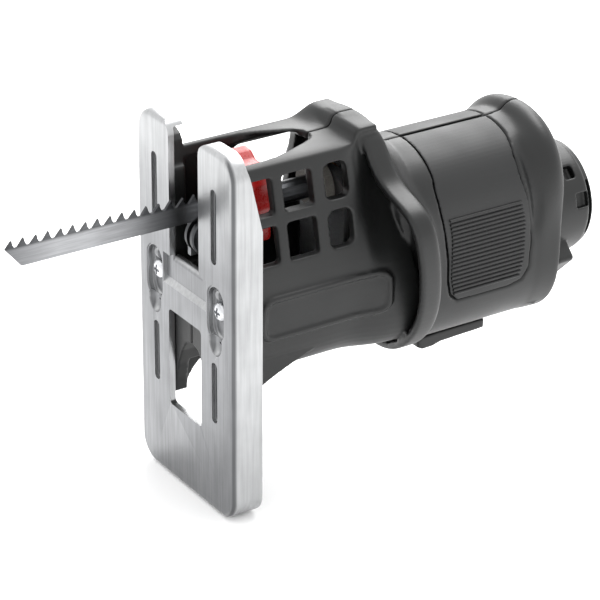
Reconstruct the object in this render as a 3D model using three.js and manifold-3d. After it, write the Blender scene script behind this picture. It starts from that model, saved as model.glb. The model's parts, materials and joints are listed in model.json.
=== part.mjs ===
// Jigsaw head for an interchangeable power unit: a two-part housing with a guard collar, a pressed steel
// shoe, and inside it a crown gear, a crank and a plunger that carries a tool-free blade clamp.
// Millimetres, +Z up. The group's origin is the centre of the coupling's rear face, on the drive axis.
// Inside the group everything is laid out from the sole: X = 0 is the shoe's working face, +X runs
// back to the coupling, the blade points to -X with its teeth up, and -Y is the left side.
import * as THREE from "three";
import { mergeVertices } from "three/addons/utils/BufferGeometryUtils.js";
import Module from "manifold-3d";

// ---------------------------------------------------------------- driving dimensions
const GAP = 0.3; // clearance between touching pieces
const BODY_LENGTH = 140.5; // sole to coupling face

const SHOE_HALF_WIDTH = 27;
const SHOE_TOP = 51.5;
const SHOE_BOTTOM = -66.4;
const SHOE_DEPTH = 10.3;
const SHOE_SHEET = 2;
const SHOE_CORNER = 6;
const BLADE_SLOT_HALF = 8.2;
const BLADE_SLOT_FLOOR = 8.7;
const SIGHT_WINDOW = { half: 8.8, top: -8.8, bottom: -41 };
const SHOE_SCREW = { y: 17.4, z: 0.6, headRadius: 3.4, headHeight: 1.8, shankRadius: 1.7 };
const DIMPLE = { halfWidth: 4.2, top: 8.7, bottom: -8.3, depth: 2.4, sheet: 1.8 };

const WALL = 2.5; // moulded housing wall
const NOSE_TOP = 42;
const NOSE_REAR = 66;
const COLLAR = { x: 61.6, lean: 0.19, thickness: 7.5 };
const GRIP = { start: 66, end: 124, halfWidth: 22, halfHeight: 33.4 };
const INSERT_THICKNESS = 1.2;
// The soft insert's edge seen from the side, as [x, z]: its front follows the collar, its rear the band.
const INSERT_EDGE = [
  [77, 40], [77, 25], [75.8, 22], [77, 16], [79.2, 8], [80.6, -1], [80.6, -9], [82, -13.4],
  [85, -15.4], [104, -15.6], [109, -14.2], [111.6, -10.5], [112, -2], [111.4, 7], [109.8, 14],
  [107.6, 20], [107.5, 26], [108.9, 30], [109, 40],
];
const REAR_BAND = { start: 113.5, halfWidth: 24, halfHeight: 36 };
const PLUG = { radius: 19, bore: 15 };

const BLADE = { back: 22.6, tips: 31, thickness: 1.1, tip: -58.3, pitch: 4, toothDepth: 2.6, teeth: 16 };
const ROD = { z: 24.5, radius: 3.5, front: 30, rear: 98.5 };
const CRANK = { x: 69, radius: 7, pinRadius: 2.5 }; // the plunger's stroke is twice the radius
const CLAMP = { front: 14, rear: 29.6, radius: 6.4 };
const GEAR = { teeth: 30, outerRadius: 16, innerRadius: 13, face: 6.4 };
const PINION = { teeth: 12, tipRadius: 6.9, rootRadius: 5.2 };
const TOOTH_HALF = 0.35; // half the thickness of a gear tooth
const ROLLER = { x: 7.5, z: 17.5, radius: 6, halfWidth: 2.5, pinRadius: 1.5 };

const ROUND = 20; // sides of an ordinary round piece
const SMALL_ROUND = 12;

// ---------------------------------------------------------------- solids
const wasm = await Module();
wasm.setup();

/** A closed geometry as a manifold solid. */
function solidOf(geometry) {
  const bare = geometry.index ? geometry.toNonIndexed() : geometry.clone();
  bare.deleteAttribute("normal");
  bare.deleteAttribute("uv");
  const merged = mergeVertices(bare, 1e-4);
  return new wasm.Manifold(
    new wasm.Mesh({
      numProp: 3,
      vertProperties: merged.attributes.position.array,
      triVerts: new Uint32Array(merged.index.array),
    }),
  );
}

/** A manifold solid as a geometry that three.js can draw. */
function geometryOf(solid) {
  const mesh = solid.getMesh();
  const geometry = new THREE.BufferGeometry();
  geometry.setAttribute("position", new THREE.BufferAttribute(mesh.vertProperties, 3));
  geometry.setIndex(new THREE.BufferAttribute(mesh.triVerts, 1));
  return geometry;
}

const join = (first, ...others) => others.reduce((sum, other) => sum.add(other), first);
const cut = (base, ...tools) => tools.reduce((rest, tool) => rest.subtract(tool), base);

/** A flat outline through [u, v] points. */
function outline(points) {
  return new THREE.Shape(points.map(([u, v]) => new THREE.Vector2(u, v)));
}

/** An outline that is the same on both sides of u = 0, from the points of its right half, top first. */
function mirrored(halfPoints) {
  const leftPoints = halfPoints.filter(([u]) => u > 0).map(([u, v]) => [-u, v]);
  return outline([...halfPoints, ...leftPoints.reverse()]);
}

/** A rectangle with round corners. */
function roundedRectangle(u0, u1, v0, v1, radius) {
  const shape = new THREE.Shape();
  shape.moveTo(u0 + radius, v0);
  shape.lineTo(u1 - radius, v0);
  shape.absarc(u1 - radius, v0 + radius, radius, -Math.PI / 2, 0);
  shape.lineTo(u1, v1 - radius);
  shape.absarc(u1 - radius, v1 - radius, radius, 0, Math.PI / 2);
  shape.lineTo(u0 + radius, v1);
  shape.absarc(u0 + radius, v1 - radius, radius, Math.PI / 2, Math.PI);
  shape.lineTo(u0, v0 + radius);
  shape.absarc(u0 + radius, v0 + radius, radius, Math.PI, 1.5 * Math.PI);
  return shape;
}

const stadium = (halfWidth, halfHeight) =>
  roundedRectangle(-halfWidth, halfWidth, -halfHeight, halfHeight, halfWidth - 0.01);

function extrude(shape, depth, segments, steps = 1) {
  return new THREE.ExtrudeGeometry(shape, { depth, steps, bevelEnabled: false, curveSegments: segments });
}

/** An outline in (Y, Z), extruded from x0 to x1. */
function alongX(shape, x0, x1, segments = 5, steps = 1) {
  const turn = new THREE.Matrix4().set(0, 0, 1, x0, 1, 0, 0, 0, 0, 1, 0, 0, 0, 0, 0, 1);
  return extrude(shape, x1 - x0, segments, steps).applyMatrix4(turn);
}

/** An outline in (X, Z), extruded from y0 to y1. */
function alongY(shape, y0, y1, segments = 5) {
  return extrude(shape, y1 - y0, segments).rotateX(Math.PI / 2).translate(0, y1, 0);
}

/** An outline in (X, Y), extruded from z0 to z1. */
function alongZ(shape, z0, z1, segments = 5) {
  return extrude(shape, z1 - z0, segments).translate(0, 0, z0);
}

function block(x0, x1, y0, y1, z0, z1) {
  const geometry = new THREE.BoxGeometry(x1 - x0, y1 - y0, z1 - z0);
  return solidOf(geometry.translate((x0 + x1) / 2, (y0 + y1) / 2, (z0 + z1) / 2));
}

/** A round bar along X, Y or Z from one end to the other, centred on the other two coordinates. */
function bar(axis, radius, from, to, a, b, sides = ROUND) {
  const geometry = new THREE.CylinderGeometry(radius, radius, to - from, sides);
  const middle = (from + to) / 2;
  if (axis === "x") return solidOf(geometry.rotateZ(-Math.PI / 2).translate(middle, a, b));
  if (axis === "y") return solidOf(geometry.translate(a, middle, b));
  return solidOf(geometry.rotateX(Math.PI / 2).translate(a, b, middle));
}

/** A ring turned about the X axis line at (y, z), from [x, radius] points: bore first, then outside. */
function turnedX(profile, y, z, sides = ROUND) {
  const points = profile.map(([x, radius]) => new THREE.Vector2(radius, x)).reverse();
  points.push(points[0].clone());
  return solidOf(new THREE.LatheGeometry(points, sides).rotateZ(-Math.PI / 2).translate(0, y, z));
}

/** Moves every vertex of a geometry by a rule. */
function reshape(geometry, rule) {
  const position = geometry.attributes.position;
  const point = new THREE.Vector3();
  for (let i = 0; i < position.count; i += 1) {
    point.fromBufferAttribute(position, i);
    rule(point);
    position.setXYZ(i, point.x, point.y, point.z);
  }
  return geometry;
}

// ---------------------------------------------------------------- materials
const finish = (color, roughness, metalness) =>
  new THREE.MeshStandardMaterial({ color, roughness, metalness });
const FINISH = {
  housing: () => finish(0x2a2b2c, 0.62, 0),
  grip: () => finish(0x3a3b3c, 0.8, 0),
  tongue: () => finish(0x343536, 0.6, 0),
  shoe: () => finish(0xd0d2d4, 0.35, 1),
  screw: () => finish(0xb8babc, 0.3, 1),
  steel: () => finish(0x9a9da0, 0.35, 1),
  blade: () => finish(0x7d8084, 0.4, 1),
  gear: () => finish(0x77797c, 0.45, 1),
  bronze: () => finish(0xa08050, 0.5, 1),
  zinc: () => finish(0xb0b2b4, 0.5, 1),
  red: () => finish(0xc8281e, 0.45, 0),
  felt: () => finish(0x5b5a55, 0.95, 0),
};

const jigsaw = new THREE.Group();
const fromSole = new THREE.Group();
fromSole.position.x = -BODY_LENGTH;
jigsaw.add(fromSole);

function add(name, solid, material) {
  const mesh = new THREE.Mesh(geometryOf(solid), material);
  mesh.name = name;
  fromSole.add(mesh);
}

// ---------------------------------------------------------------- shoe
/** A drawn steel pan with an open blade slot between two prongs, a sight window and two screw holes. */
function shoe() {
  const inner = SHOE_HALF_WIDTH - SHOE_SHEET;
  const rim = (half, inset, radius) =>
    roundedRectangle(-half, half, SHOE_BOTTOM + inset, SHOE_TOP - inset, radius);
  const pan = solidOf(alongX(rim(SHOE_HALF_WIDTH, 0, SHOE_CORNER), 0, SHOE_DEPTH, 4));
  const hollow = solidOf(alongX(rim(inner, SHOE_SHEET, SHOE_CORNER - SHOE_SHEET), SHOE_SHEET, 20, 4));
  const slot = block(-1, 20, -BLADE_SLOT_HALF, BLADE_SLOT_HALF, BLADE_SLOT_FLOOR, SHOE_TOP + 1);
  const { half, top, bottom } = SIGHT_WINDOW;
  const window = solidOf(alongX(roundedRectangle(-half, half, bottom, top, 1.5), -1, SHOE_SHEET + 1, 2));
  // Towards the toes the side wall grows shallower.
  const toeRelief = solidOf(
    alongY(outline([[5.5, SHOE_TOP + 1], [5.5, 47.5], [10.2, 28], [20, 28], [20, SHOE_TOP + 1]]), -40, 40),
  );
  const seats = [-1, 1].map((side) => dimple(side, -0.1, DIMPLE.depth, 0));
  const pads = [-1, 1].map((side) => dimple(side, 1, DIMPLE.depth + DIMPLE.sheet, 1.2));
  const holes = [-1, 1].map((side) =>
    bar("x", SHOE_SCREW.shankRadius + GAP, -1, 6, side * SHOE_SCREW.y, SHOE_SCREW.z, SMALL_ROUND),
  );
  const blank = join(cut(pan, hollow), ...pads);
  add("shoe", cut(blank, slot, window, toeRelief, ...seats, ...holes), FINISH.shoe());
}

/** A long round-ended dimple around one of the shoe's screws, grown outwards by a margin. */
function dimple(side, x0, x1, margin) {
  const half = DIMPLE.halfWidth + margin;
  const centre = side * SHOE_SCREW.y;
  const ends = [DIMPLE.bottom - margin, DIMPLE.top + margin];
  return solidOf(alongX(roundedRectangle(centre - half, centre + half, ...ends, half - 0.01), x0, x1, 4));
}

/** One of the two pan-head screws that hold the shoe, its head sunk in the dimple. */
function shoeScrew(name, side) {
  const { y, z, headRadius, headHeight, shankRadius } = SHOE_SCREW;
  const seat = DIMPLE.depth - 0.1;
  const head = bar("x", headRadius, seat - headHeight, seat, side * y, z, SMALL_ROUND);
  const shank = bar("x", shankRadius, seat - 0.5, 12, side * y, z, SMALL_ROUND);
  add(name, join(head, shank), FINISH.screw());
}

// ---------------------------------------------------------------- housing
const NOSE_SECTION = [
  [0, NOSE_TOP], [11.8, NOSE_TOP], [13.6, 40.6], [20, 15], [21.5, 5],
  [21.5, -8], [19.4, -17.5], [13.2, -24.3], [0, -26],
];
const NOSE_HOLLOW = [
  [0, 39.5], [10.6, 39.5], [17.3, 14.5], [18.8, 5], [18.8, -7.4], [16.2, -14.8], [10.8, -19.4], [0, -20.8],
];
const COLLAR_SECTION = [
  [0, 46], [9.5, 44.6], [14.2, 41], [15.6, 35], [18.5, 30], [23, 27], [29, 25], [33.6, 22.4], [36.2, 17.5],
  [36.6, 11.5], [35.6, 3.5], [33, -6], [29, -14.5], [23.6, -22.4], [16.6, -29.4], [8.5, -34.8], [0, -36.4],
];

/** Widens the nose towards the collar, and deepens its underside. */
function flareNose(point) {
  const share = THREE.MathUtils.smoothstep(point.x, 44, NOSE_REAR - 2);
  point.y *= 1 + 0.16 * share;
  if (point.z < 0) point.z *= 1 + 0.12 * share;
}

/** Leans a plate back so that its foot stands further to the rear than its head. */
function leanBack(point) {
  point.x -= COLLAR.lean * point.z;
}

/** The plate behind the shoe that the shoe is screwed to, with a bowed leg on each side of the window. */
function noseFoot() {
  const plate = solidOf(
    alongX(roundedRectangle(-24.4, 24.4, -38, 47.5, 4), SHOE_SHEET + GAP, SHOE_SHEET + 4.5, 3),
  );
  const toeClearance = block(0, 5.6 + GAP, -30, 30, 47.2, 60);
  const leg = outline([
    [2.5, -38], [6.8, -38], [9, -33], [14, -28], [20, -24.5], [28, -22], [28, -10], [2.5, -10],
  ]);
  const legs = [-1, 1].map((side) => {
    const [y0, y1] = side < 0 ? [-19.5, -10.5] : [10.5, 19.5];
    return solidOf(alongY(leg, y0, y1));
  });
  return cut(join(plate, ...legs), toeClearance);
}

/** Cuts of the nose: blade slot, clamp access, the arch over the window, and grilles, the right one short. */
function noseOpenings() {
  const slot = block(0, 12, -BLADE_SLOT_HALF - 1, BLADE_SLOT_HALF + 1, BLADE_SLOT_FLOOR + 1, 60);
  const access = solidOf(
    alongZ(mirroredAcross([[0, 10.6], [24, 10.6], [31, 8.6], [38, 4], [44, 2.4], [45, 0]]), 36, 60),
  );
  const arch = solidOf(
    alongX(mirrored([[0, -17.4], [4, -20], [7, -25], [9.4, -31.5], [10.3, -45], [0, -45]]), 0, 15),
  );
  const panes = [];
  for (const [x0, x1, rightSide] of [[8.5, 20.6, 0], [24.2, 34.4, 0], [38.5, 46.8, 30]])
    for (const [z0, z1] of [[12.6, 23.6], [27, 37.6]])
      panes.push(block(x0, x1, -30, rightSide, z0, z1));
  return [slot, access, arch, ...panes];
}

/** An outline in (X, Y) that is the same on both sides of Y = 0. */
function mirroredAcross(upperPoints) {
  const lowerPoints = upperPoints.filter(([, v]) => v > 0).map(([u, v]) => [u, -v]);
  return outline([...upperPoints, ...lowerPoints.reverse()]);
}

/** The housing's outside, before it is hollowed and split. */
function housingBody() {
  const noseBar = alongX(mirrored(NOSE_SECTION), SHOE_SHEET + GAP, NOSE_REAR, 1, 8);
  const nose = solidOf(reshape(noseBar, flareNose));
  const collar = solidOf(
    reshape(alongX(mirrored(COLLAR_SECTION), COLLAR.x, COLLAR.x + COLLAR.thickness, 1), leanBack),
  );
  // Behind the collar the top falls away to the grip.
  const slope = outline([[58, 30], [58, 45.4], [61.5, 44.6], [66, 40.5], [72, 34], [76, 32], [76, 25]]);
  const shoulder = solidOf(alongY(slope, -13, 13));
  const grip = solidOf(alongX(stadium(GRIP.halfWidth, GRIP.halfHeight), GRIP.start, GRIP.end, 5));
  const { start, halfWidth, halfHeight } = REAR_BAND;
  const band = solidOf(alongX(stadium(halfWidth, halfHeight), start, GRIP.end, 5));
  return join(nose, noseFoot(), collar, shoulder, grip, band);
}

/** The room inside the housing. */
function housingHollow() {
  const nose = solidOf(alongX(mirrored(NOSE_HOLLOW), 16, 70, 1));
  const frontSection = mirrored([[0, 39.5], [10.6, 39.5], [17.3, 14.5], [17.3, 9.7], [0, 9.7]]);
  const frontRoom = solidOf(alongX(frontSection, 6.8, 17, 1));
  const grip = solidOf(
    alongX(stadium(GRIP.halfWidth - WALL, GRIP.halfHeight - WALL), 62, GRIP.end - WALL, 4),
  );
  const plugSeat = bar("x", PLUG.radius - 1.5, GRIP.end - WALL - 1, GRIP.end + 1, 0, 0);
  return join(nose, frontRoom, grip, plugSeat);
}

/** The grip's outside shrunk by an inset, as a bar longer than the grip. */
function gripCore(inset) {
  const section = stadium(GRIP.halfWidth - inset, GRIP.halfHeight - inset);
  return solidOf(alongX(section, 0, BODY_LENGTH, 5));
}

/** What a soft insert covers on one side, seen square to the side, grown outwards by a margin. */
function insertReach(side, margin) {
  const middleX = 95;
  const middleZ = 5;
  const outwards = (value, middle) => value + margin * Math.sign(value - middle);
  const grown = INSERT_EDGE.map(([x, z]) => [outwards(x, middleX), outwards(z, middleZ)]);
  const [y0, y1] = side < 0 ? [-40, -0.6 + margin] : [0.6 - margin, 40];
  return solidOf(alongY(outline(grown), y0, y1));
}

/** A shallow pocket in the grip that a soft insert fills, on one side. */
function insertPocket(side) {
  return cut(gripCore(-1), gripCore(INSERT_THICKNESS)).intersect(insertReach(side, GAP));
}

/** The soft insert itself, a skin that follows the grip. */
function gripInsert(name, side) {
  const skin = cut(gripCore(0), gripCore(INSERT_THICKNESS - GAP));
  add(name, skin.intersect(insertReach(side, 0)), FINISH.grip());
}

const HOUSING_SCREWS = [[24, -9], [52, -17], [76, -24], [118.5, 24], [118.5, -24]];
const BOSS = { radius: 3.6, pilot: 1.3, head: 3, headDepth: 3 };

/** The two half shells, split on the plane of symmetry, with the screw bosses between them. */
function housing() {
  const body = housingBody();
  const bosses = HOUSING_SCREWS.map(([x, z]) => bar("y", BOSS.radius, -17, 17, x, z, SMALL_ROUND));
  const pockets = [-1, 1].map(insertPocket);
  const bossed = join(cut(body, housingHollow()), ...bosses);
  const shell = cut(bossed, ...noseOpenings(), ...pockets, ...wells());
  const left = block(-10, 200, -60, -GAP / 2, -80, 80);
  const right = block(-10, 200, GAP / 2, 60, -80, 80);
  add("housing_left", shell.intersect(left), FINISH.housing());
  add("housing_right", shell.intersect(right), FINISH.housing());
}

/** Screw wells from the right side, and the pilot holes that the shoe's screws run into. */
function wells() {
  const housingWells = HOUSING_SCREWS.flatMap(([x, z]) => [
    bar("y", BOSS.pilot + GAP, -12, 16, x, z, 8),
    bar("y", BOSS.head + GAP, 14, 60, x, z, SMALL_ROUND),
  ]);
  const shoePilots = [-1, 1].map((side) =>
    bar("x", SHOE_SCREW.shankRadius + GAP, 0, 12 + GAP, side * SHOE_SCREW.y, SHOE_SCREW.z, SMALL_ROUND),
  );
  const padRoom = [-1, 1].map((side) => dimple(side, 0, DIMPLE.depth + DIMPLE.sheet + GAP, 1.2 + GAP));
  return [...housingWells, ...shoePilots, ...padRoom];
}

function housingScrews() {
  HOUSING_SCREWS.forEach(([x, z], index) => {
    const head = bar("y", BOSS.head, 14 + GAP, 14 + GAP + BOSS.headDepth, x, z, SMALL_ROUND);
    const shank = bar("y", BOSS.pilot, -11, 14 + GAP + 0.1, x, z, 8);
    add("housing_screw_" + (index + 1), join(head, shank), FINISH.screw());
  });
}

/** The round plug that the power unit takes hold of, with three latch slots. */
function couplingPlug() {
  const back = GRIP.end - WALL;
  const barrel = turnedX(
    [
      [back - 3, PLUG.bore], [BODY_LENGTH, PLUG.bore], [BODY_LENGTH, PLUG.radius - 1.2],
      [BODY_LENGTH - 1.2, PLUG.radius], [GRIP.end + GAP, PLUG.radius], [GRIP.end + GAP, PLUG.radius - 1.8],
      [back - GAP, PLUG.radius - 1.8], [back - GAP, PLUG.radius - 0.2], [back - 3, PLUG.radius - 0.2],
    ],
    0, 0, 28,
  );
  const notches = [20, 140, 260].map((degrees) => {
    const notch = block(BODY_LENGTH - 9, BODY_LENGTH - 5, PLUG.radius - 2, PLUG.radius + 3, -5, 5);
    return notch.rotate([degrees, 0, 0]);
  });
  const latchLug = block(GRIP.end + GAP, GRIP.end + 7, PLUG.bore + 1, PLUG.radius + 6, -5, 5).rotate([225, 0, 0]);
  add("coupling_plug", join(cut(barrel, ...notches), latchLug), FINISH.housing());
}

/** The tongue under the grip that frees the power unit's switch. */
function switchTongue() {
  const profile = outline([[81, -34.2], [107, -33.8], [107, -37.2], [89, -37.8], [85, -38.6], [81, -38]]);
  const root = outline([[80, -33.8], [88, -33.8], [88, -35], [80, -35]]);
  add(
    "switch_tongue",
    join(solidOf(alongY(profile, -7, 7)), solidOf(alongY(root, -5, 5))),
    FINISH.tongue(),
  );
}

// ---------------------------------------------------------------- drive
/** Teeth standing on a ring, as plain blocks. */
function teeth(count, makeTooth, axis) {
  const all = [];
  for (let i = 0; i < count; i += 1) {
    const degrees = (360 / count) * i;
    all.push(makeTooth().rotate(axis === "x" ? [degrees, 0, 0] : [0, 0, degrees]));
  }
  return all;
}

/** The shaft that the power unit turns, with a hexagon socket at the rear. */
function inputSpindle() {
  const shaft = join(
    bar("x", 4, 76, 118, 0, 0, ROUND),
    bar("x", 6.2, 104, 108, 0, 0, ROUND),
    bar("x", 8, 117, 128, 0, 0, ROUND),
  );
  const socket = bar("x", 4.4, 119, 129, 0, 0, 6);
  add("input_spindle", cut(shaft, socket), FINISH.steel());
  const [x0, x1] = [CRANK.x + GEAR.innerRadius, CRANK.x + GEAR.outerRadius + 2];
  const { rootRadius, tipRadius } = PINION;
  const hub = turnedX([[x0, 4 + GAP], [x1, 4 + GAP], [x1, rootRadius], [x0, rootRadius]], 0, 0, 24);
  const tooth = () => block(x0, x1, -TOOTH_HALF, TOOTH_HALF, rootRadius - 0.4, tipRadius);
  const halfStep = 180 / PINION.teeth;
  add("drive_pinion", join(hub, ...teeth(PINION.teeth, tooth, "x")).rotate([halfStep, 0, 0]), FINISH.gear());
  const clip = [[100, 4 + GAP], [101, 4 + GAP], [101, 6], [100, 6]];
  add("spindle_circlip", turnedX(clip, 0, 0, ROUND), FINISH.steel());
}

/** The crown gear that carries the crank pin, laid flat above the drive axis. */
function crankGear() {
  const base = GEAR.face + 1;
  const disc = cut(
    bar("z", GEAR.outerRadius + 0.2, base, base + 4.6, 0, 0, 30),
    bar("z", 3 + GAP, base - 1, base + 6, 0, 0, SMALL_ROUND),
  );
  const { innerRadius, outerRadius, face } = GEAR;
  const tooth = () => block(innerRadius, outerRadius, -TOOTH_HALF, TOOTH_HALF, face, base + 0.5);
  const gear = join(disc, ...teeth(GEAR.teeth, tooth, "z")).translate([CRANK.x, 0, 0]);
  const pinHole = bar("z", CRANK.pinRadius + GAP, 0, 30, CRANK.x - CRANK.radius, 0, SMALL_ROUND);
  add("crank_gear", cut(gear, pinHole), FINISH.gear());
  const top = base + 4.6;
  const pin = join(
    bar("z", CRANK.pinRadius, base + 0.4, top + 4, CRANK.x - CRANK.radius, 0, SMALL_ROUND),
    bar("z", CRANK.pinRadius + 1, top + GAP, top + 1, CRANK.x - CRANK.radius, 0, SMALL_ROUND),
  );
  add("crank_pin", pin, FINISH.steel());
  const roller = cut(
    bar("z", 4, top + 1 + GAP, top + 3.8, CRANK.x - CRANK.radius, 0, 16),
    bar("z", CRANK.pinRadius + GAP, 0, 30, CRANK.x - CRANK.radius, 0, SMALL_ROUND),
  );
  add("crank_roller", roller, FINISH.bronze());
}

/** The fixed metalwork: gear carrier, crank axle, plunger bushes and spindle bearings. */
function driveSupports() {
  const bushRadius = 5.2;
  const floor = block(48.5, 96, -14, 14, -12, -9);
  const posts = join(block(92, 96, -14, 14, -12, 30), block(48.5, 52, -12, 12, -12, 30));
  const rearRoom = gripCore(WALL + GAP);
  const bushSeat = bar("x", bushRadius + GAP, 40, 100, 0, ROD.z, ROUND);
  const spindleEye = bar("x", 8 + GAP, 90, 98, 0, 0, ROUND);
  const axleHole = bar("z", 3 + GAP, -13, -8, CRANK.x, 0, SMALL_ROUND);
  const carrier = cut(join(floor, posts).intersect(rearRoom), bushSeat, spindleEye, axleHole);
  add("gear_carrier", carrier, FINISH.zinc());
  const axle = join(
    bar("z", 3, -12, 12.9, CRANK.x, 0, SMALL_ROUND),
    bar("z", 4.4, -9 + GAP, 6, CRANK.x, 0, SMALL_ROUND),
  );
  add("crank_axle", axle, FINISH.steel());
  const ring = (x0, x1, inner, outer, z) =>
    turnedX([[x0, inner], [x1, inner], [x1, outer], [x0, outer]], 0, z, ROUND);
  add("front_plunger_bush", ring(47.8, 53, ROD.radius + GAP, bushRadius, ROD.z), FINISH.bronze());
  add("rear_plunger_bush", ring(91, 97, ROD.radius + GAP, bushRadius, ROD.z), FINISH.bronze());
  add("front_spindle_bearing", ring(91.5, 96.5, 4 + GAP, 8, 0), FINISH.steel());
  add("rear_spindle_bearing", ring(109, 114, 4 + GAP, 9, 0), FINISH.steel());
  const plate = cut(
    gripCore(WALL + GAP).intersect(block(110, 113, -30, 30, -40, 40)),
    bar("x", 9 + GAP, 100, 120, 0, 0, ROUND),
    block(100, 120, -30, 30, 17, 40),
    ...HOUSING_SCREWS.map(([x, z]) => bar("y", BOSS.radius + GAP, -30, 30, x, z, SMALL_ROUND)),
  );
  add("bearing_plate", plate, FINISH.zinc());
  add("dust_felt", ring(44.6, 47.4, ROD.radius + GAP, 8.5, ROD.z), FINISH.felt());
}

// ---------------------------------------------------------------- plunger and clamp
function plunger() {
  add("plunger_rod", bar("x", ROD.radius, ROD.front - 4, ROD.rear, 0, ROD.z, 16), FINISH.steel());
  const underside = 16.4;
  const pinX = CRANK.x - CRANK.radius;
  const halfLength = 7.5;
  const plate = block(pinX - halfLength, pinX + halfLength, -13.5, 13.5, underside, underside + 3);
  const slot = block(pinX - 4.3, pinX + 4.3, -11.6, 11.6, underside - 1, underside + 3.9);
  const saddles = [pinX - halfLength, pinX + 4.3].map((x) =>
    block(x, x + 3.2, -5.6, 5.6, underside + 2, 29.4),
  );
  const bore = bar("x", ROD.radius + GAP, pinX - 20, pinX + 20, 0, ROD.z, 16);
  add("yoke", cut(join(plate, ...saddles), slot, bore), FINISH.zinc());
  const collarStart = pinX + halfLength + GAP;
  const [x0, x1, inner, outer] = [collarStart, collarStart + 2.5, ROD.radius + GAP, 5.6];
  const collar = turnedX([[x0, inner], [x1, inner], [x1, outer], [x0, outer]], 0, ROD.z, ROUND);
  add("yoke_collar", collar, FINISH.steel());
}

/** The round clamp on the front of the plunger, its spring, its stop ring and the red lever on it. */
function bladeClamp() {
  const { front, rear, radius } = CLAMP;
  const body = join(
    bar("x", radius, front, rear, 0, ROD.z, ROUND),
    bar("x", radius + 1.6, front, front + 2, 0, ROD.z, ROUND),
  );
  const half = BLADE.thickness / 2 + GAP;
  const bladeSlot = block(front - 2, front + 10, -half, half, BLADE.back - GAP, 40);
  const rodSocket = bar("x", ROD.radius + GAP, ROD.front - 4 - GAP, rear + 1, 0, ROD.z, 16);
  add("clamp_body", cut(body, bladeSlot, rodSocket), FINISH.steel());
  // The lever is a sleeve with a thumb paddle on top and a skirt down its left side.
  const [x0, x1] = [front + 2.4, front + 11.4];
  const paddle = outline([
    [-9.4, 15], [-6, 15], [-6, 28], [9, 28], [8.6, 33], [7, 36], [3, 38.6], [-3, 38.6], [-8.6, 35],
  ]);
  const sleeve = bar("x", radius + 3.2, x0, x1, 0, ROD.z, ROUND);
  const lever = join(sleeve, solidOf(alongX(paddle, x0 + 0.6, x1 - 0.4)));
  add("clamp_lever", cut(lever, bar("x", radius + GAP, 10, 30, 0, ROD.z, ROUND)), FINISH.red());
  const inner = radius + GAP;
  const ring = (from, to) =>
    turnedX([[from, inner], [to, inner], [to, 8.6], [from, 8.6]], 0, ROD.z, ROUND);
  add("clamp_spring", ring(x1 + GAP, x1 + 2.2), FINISH.steel());
  add("clamp_stop_ring", ring(x1 + 2.5, x1 + 3.6), FINISH.steel());
}

/** The saw blade: a toothed steel strip with a slanting tip. */
function blade() {
  const points = [[BLADE.tip + 5, BLADE.back], [BLADE.tip, BLADE.back + 6.4]];
  const first = BLADE.tip + 1.4;
  for (let i = 0; i < BLADE.teeth; i += 1) {
    const x = first + BLADE.pitch * i;
    points.push([x, BLADE.tips]);
    points.push([x + 1.3, BLADE.tips - BLADE.toothDepth]);
    points.push([x + BLADE.pitch - 0.6, BLADE.tips - BLADE.toothDepth + 1]);
  }
  const lastX = first + BLADE.pitch * BLADE.teeth;
  points.push([lastX, BLADE.tips - 0.6], [23.4, BLADE.tips - 0.6], [23.4, BLADE.back]);
  const strip = alongY(outline(points.reverse()), -BLADE.thickness / 2, BLADE.thickness / 2);
  add("blade", solidOf(strip), FINISH.blade());
}

/** The grooved wheel that backs up the blade, its pin and its forked bracket. */
function guideRoller() {
  const { x, z, radius, halfWidth, pinRadius } = ROLLER;
  const wheel = cut(
    bar("y", radius, -halfWidth, halfWidth, x, z, ROUND),
    bar("y", pinRadius + GAP, -5, 5, x, z, SMALL_ROUND),
  );
  const groove = cut(
    bar("y", radius + 1, -BLADE.thickness / 2 - GAP, BLADE.thickness / 2 + GAP, x, z, ROUND),
    bar("y", radius - 1.2, -5, 5, x, z, ROUND),
  );
  add("guide_roller", cut(wheel, groove), FINISH.steel());
  add("roller_pin", bar("y", pinRadius, -5, 5, x, z, SMALL_ROUND), FINISH.steel());
  const bracketFloor = 10;
  const bracketRear = CLAMP.front + 2.8;
  const cheeks = [-1, 1].map((side) => {
    const [y0, y1] = side < 0 ? [-4.6, -halfWidth - 0.4] : [halfWidth + 0.4, 4.6];
    const ear = block(x - 3.4, CLAMP.front - 0.5, y0, y1, bracketFloor, z + 3);
    return join(ear, block(x, bracketRear, y0, y1, bracketFloor, bracketFloor + 4.4));
  });
  const web = block(x + radius + 0.4, bracketRear, -4.6, 4.6, bracketFloor, bracketFloor + 4.4);
  const eye = bar("y", pinRadius + GAP, -10, 10, x, z, SMALL_ROUND);
  add("roller_bracket", cut(join(web, ...cheeks), eye), FINISH.zinc());
}

// ---------------------------------------------------------------- the whole head
shoe();
shoeScrew("shoe_screw_left", -1);
shoeScrew("shoe_screw_right", 1);
housing();
gripInsert("grip_insert_left", -1);
gripInsert("grip_insert_right", 1);
housingScrews();
couplingPlug();
switchTongue();
inputSpindle();
crankGear();
driveSupports();
plunger();
bladeClamp();
blade();
guideRoller();

export default jigsaw;
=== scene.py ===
"""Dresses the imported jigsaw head: a drawn steel shoe, a moulded housing, soft grip inserts and a saw blade.

Every shape is worked out in millimetres from the sole: X = 0 is the shoe's working face, +X runs back to the
coupling, Z = 0 is the drive axis and -Y is the left side. The finished mesh is then put in the row's frame.
"""
import json
import logging
import math
from dataclasses import dataclass, field
from enum import Enum
from typing import Sequence

import bmesh
import bpy
from mathutils import Matrix, Vector


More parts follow.
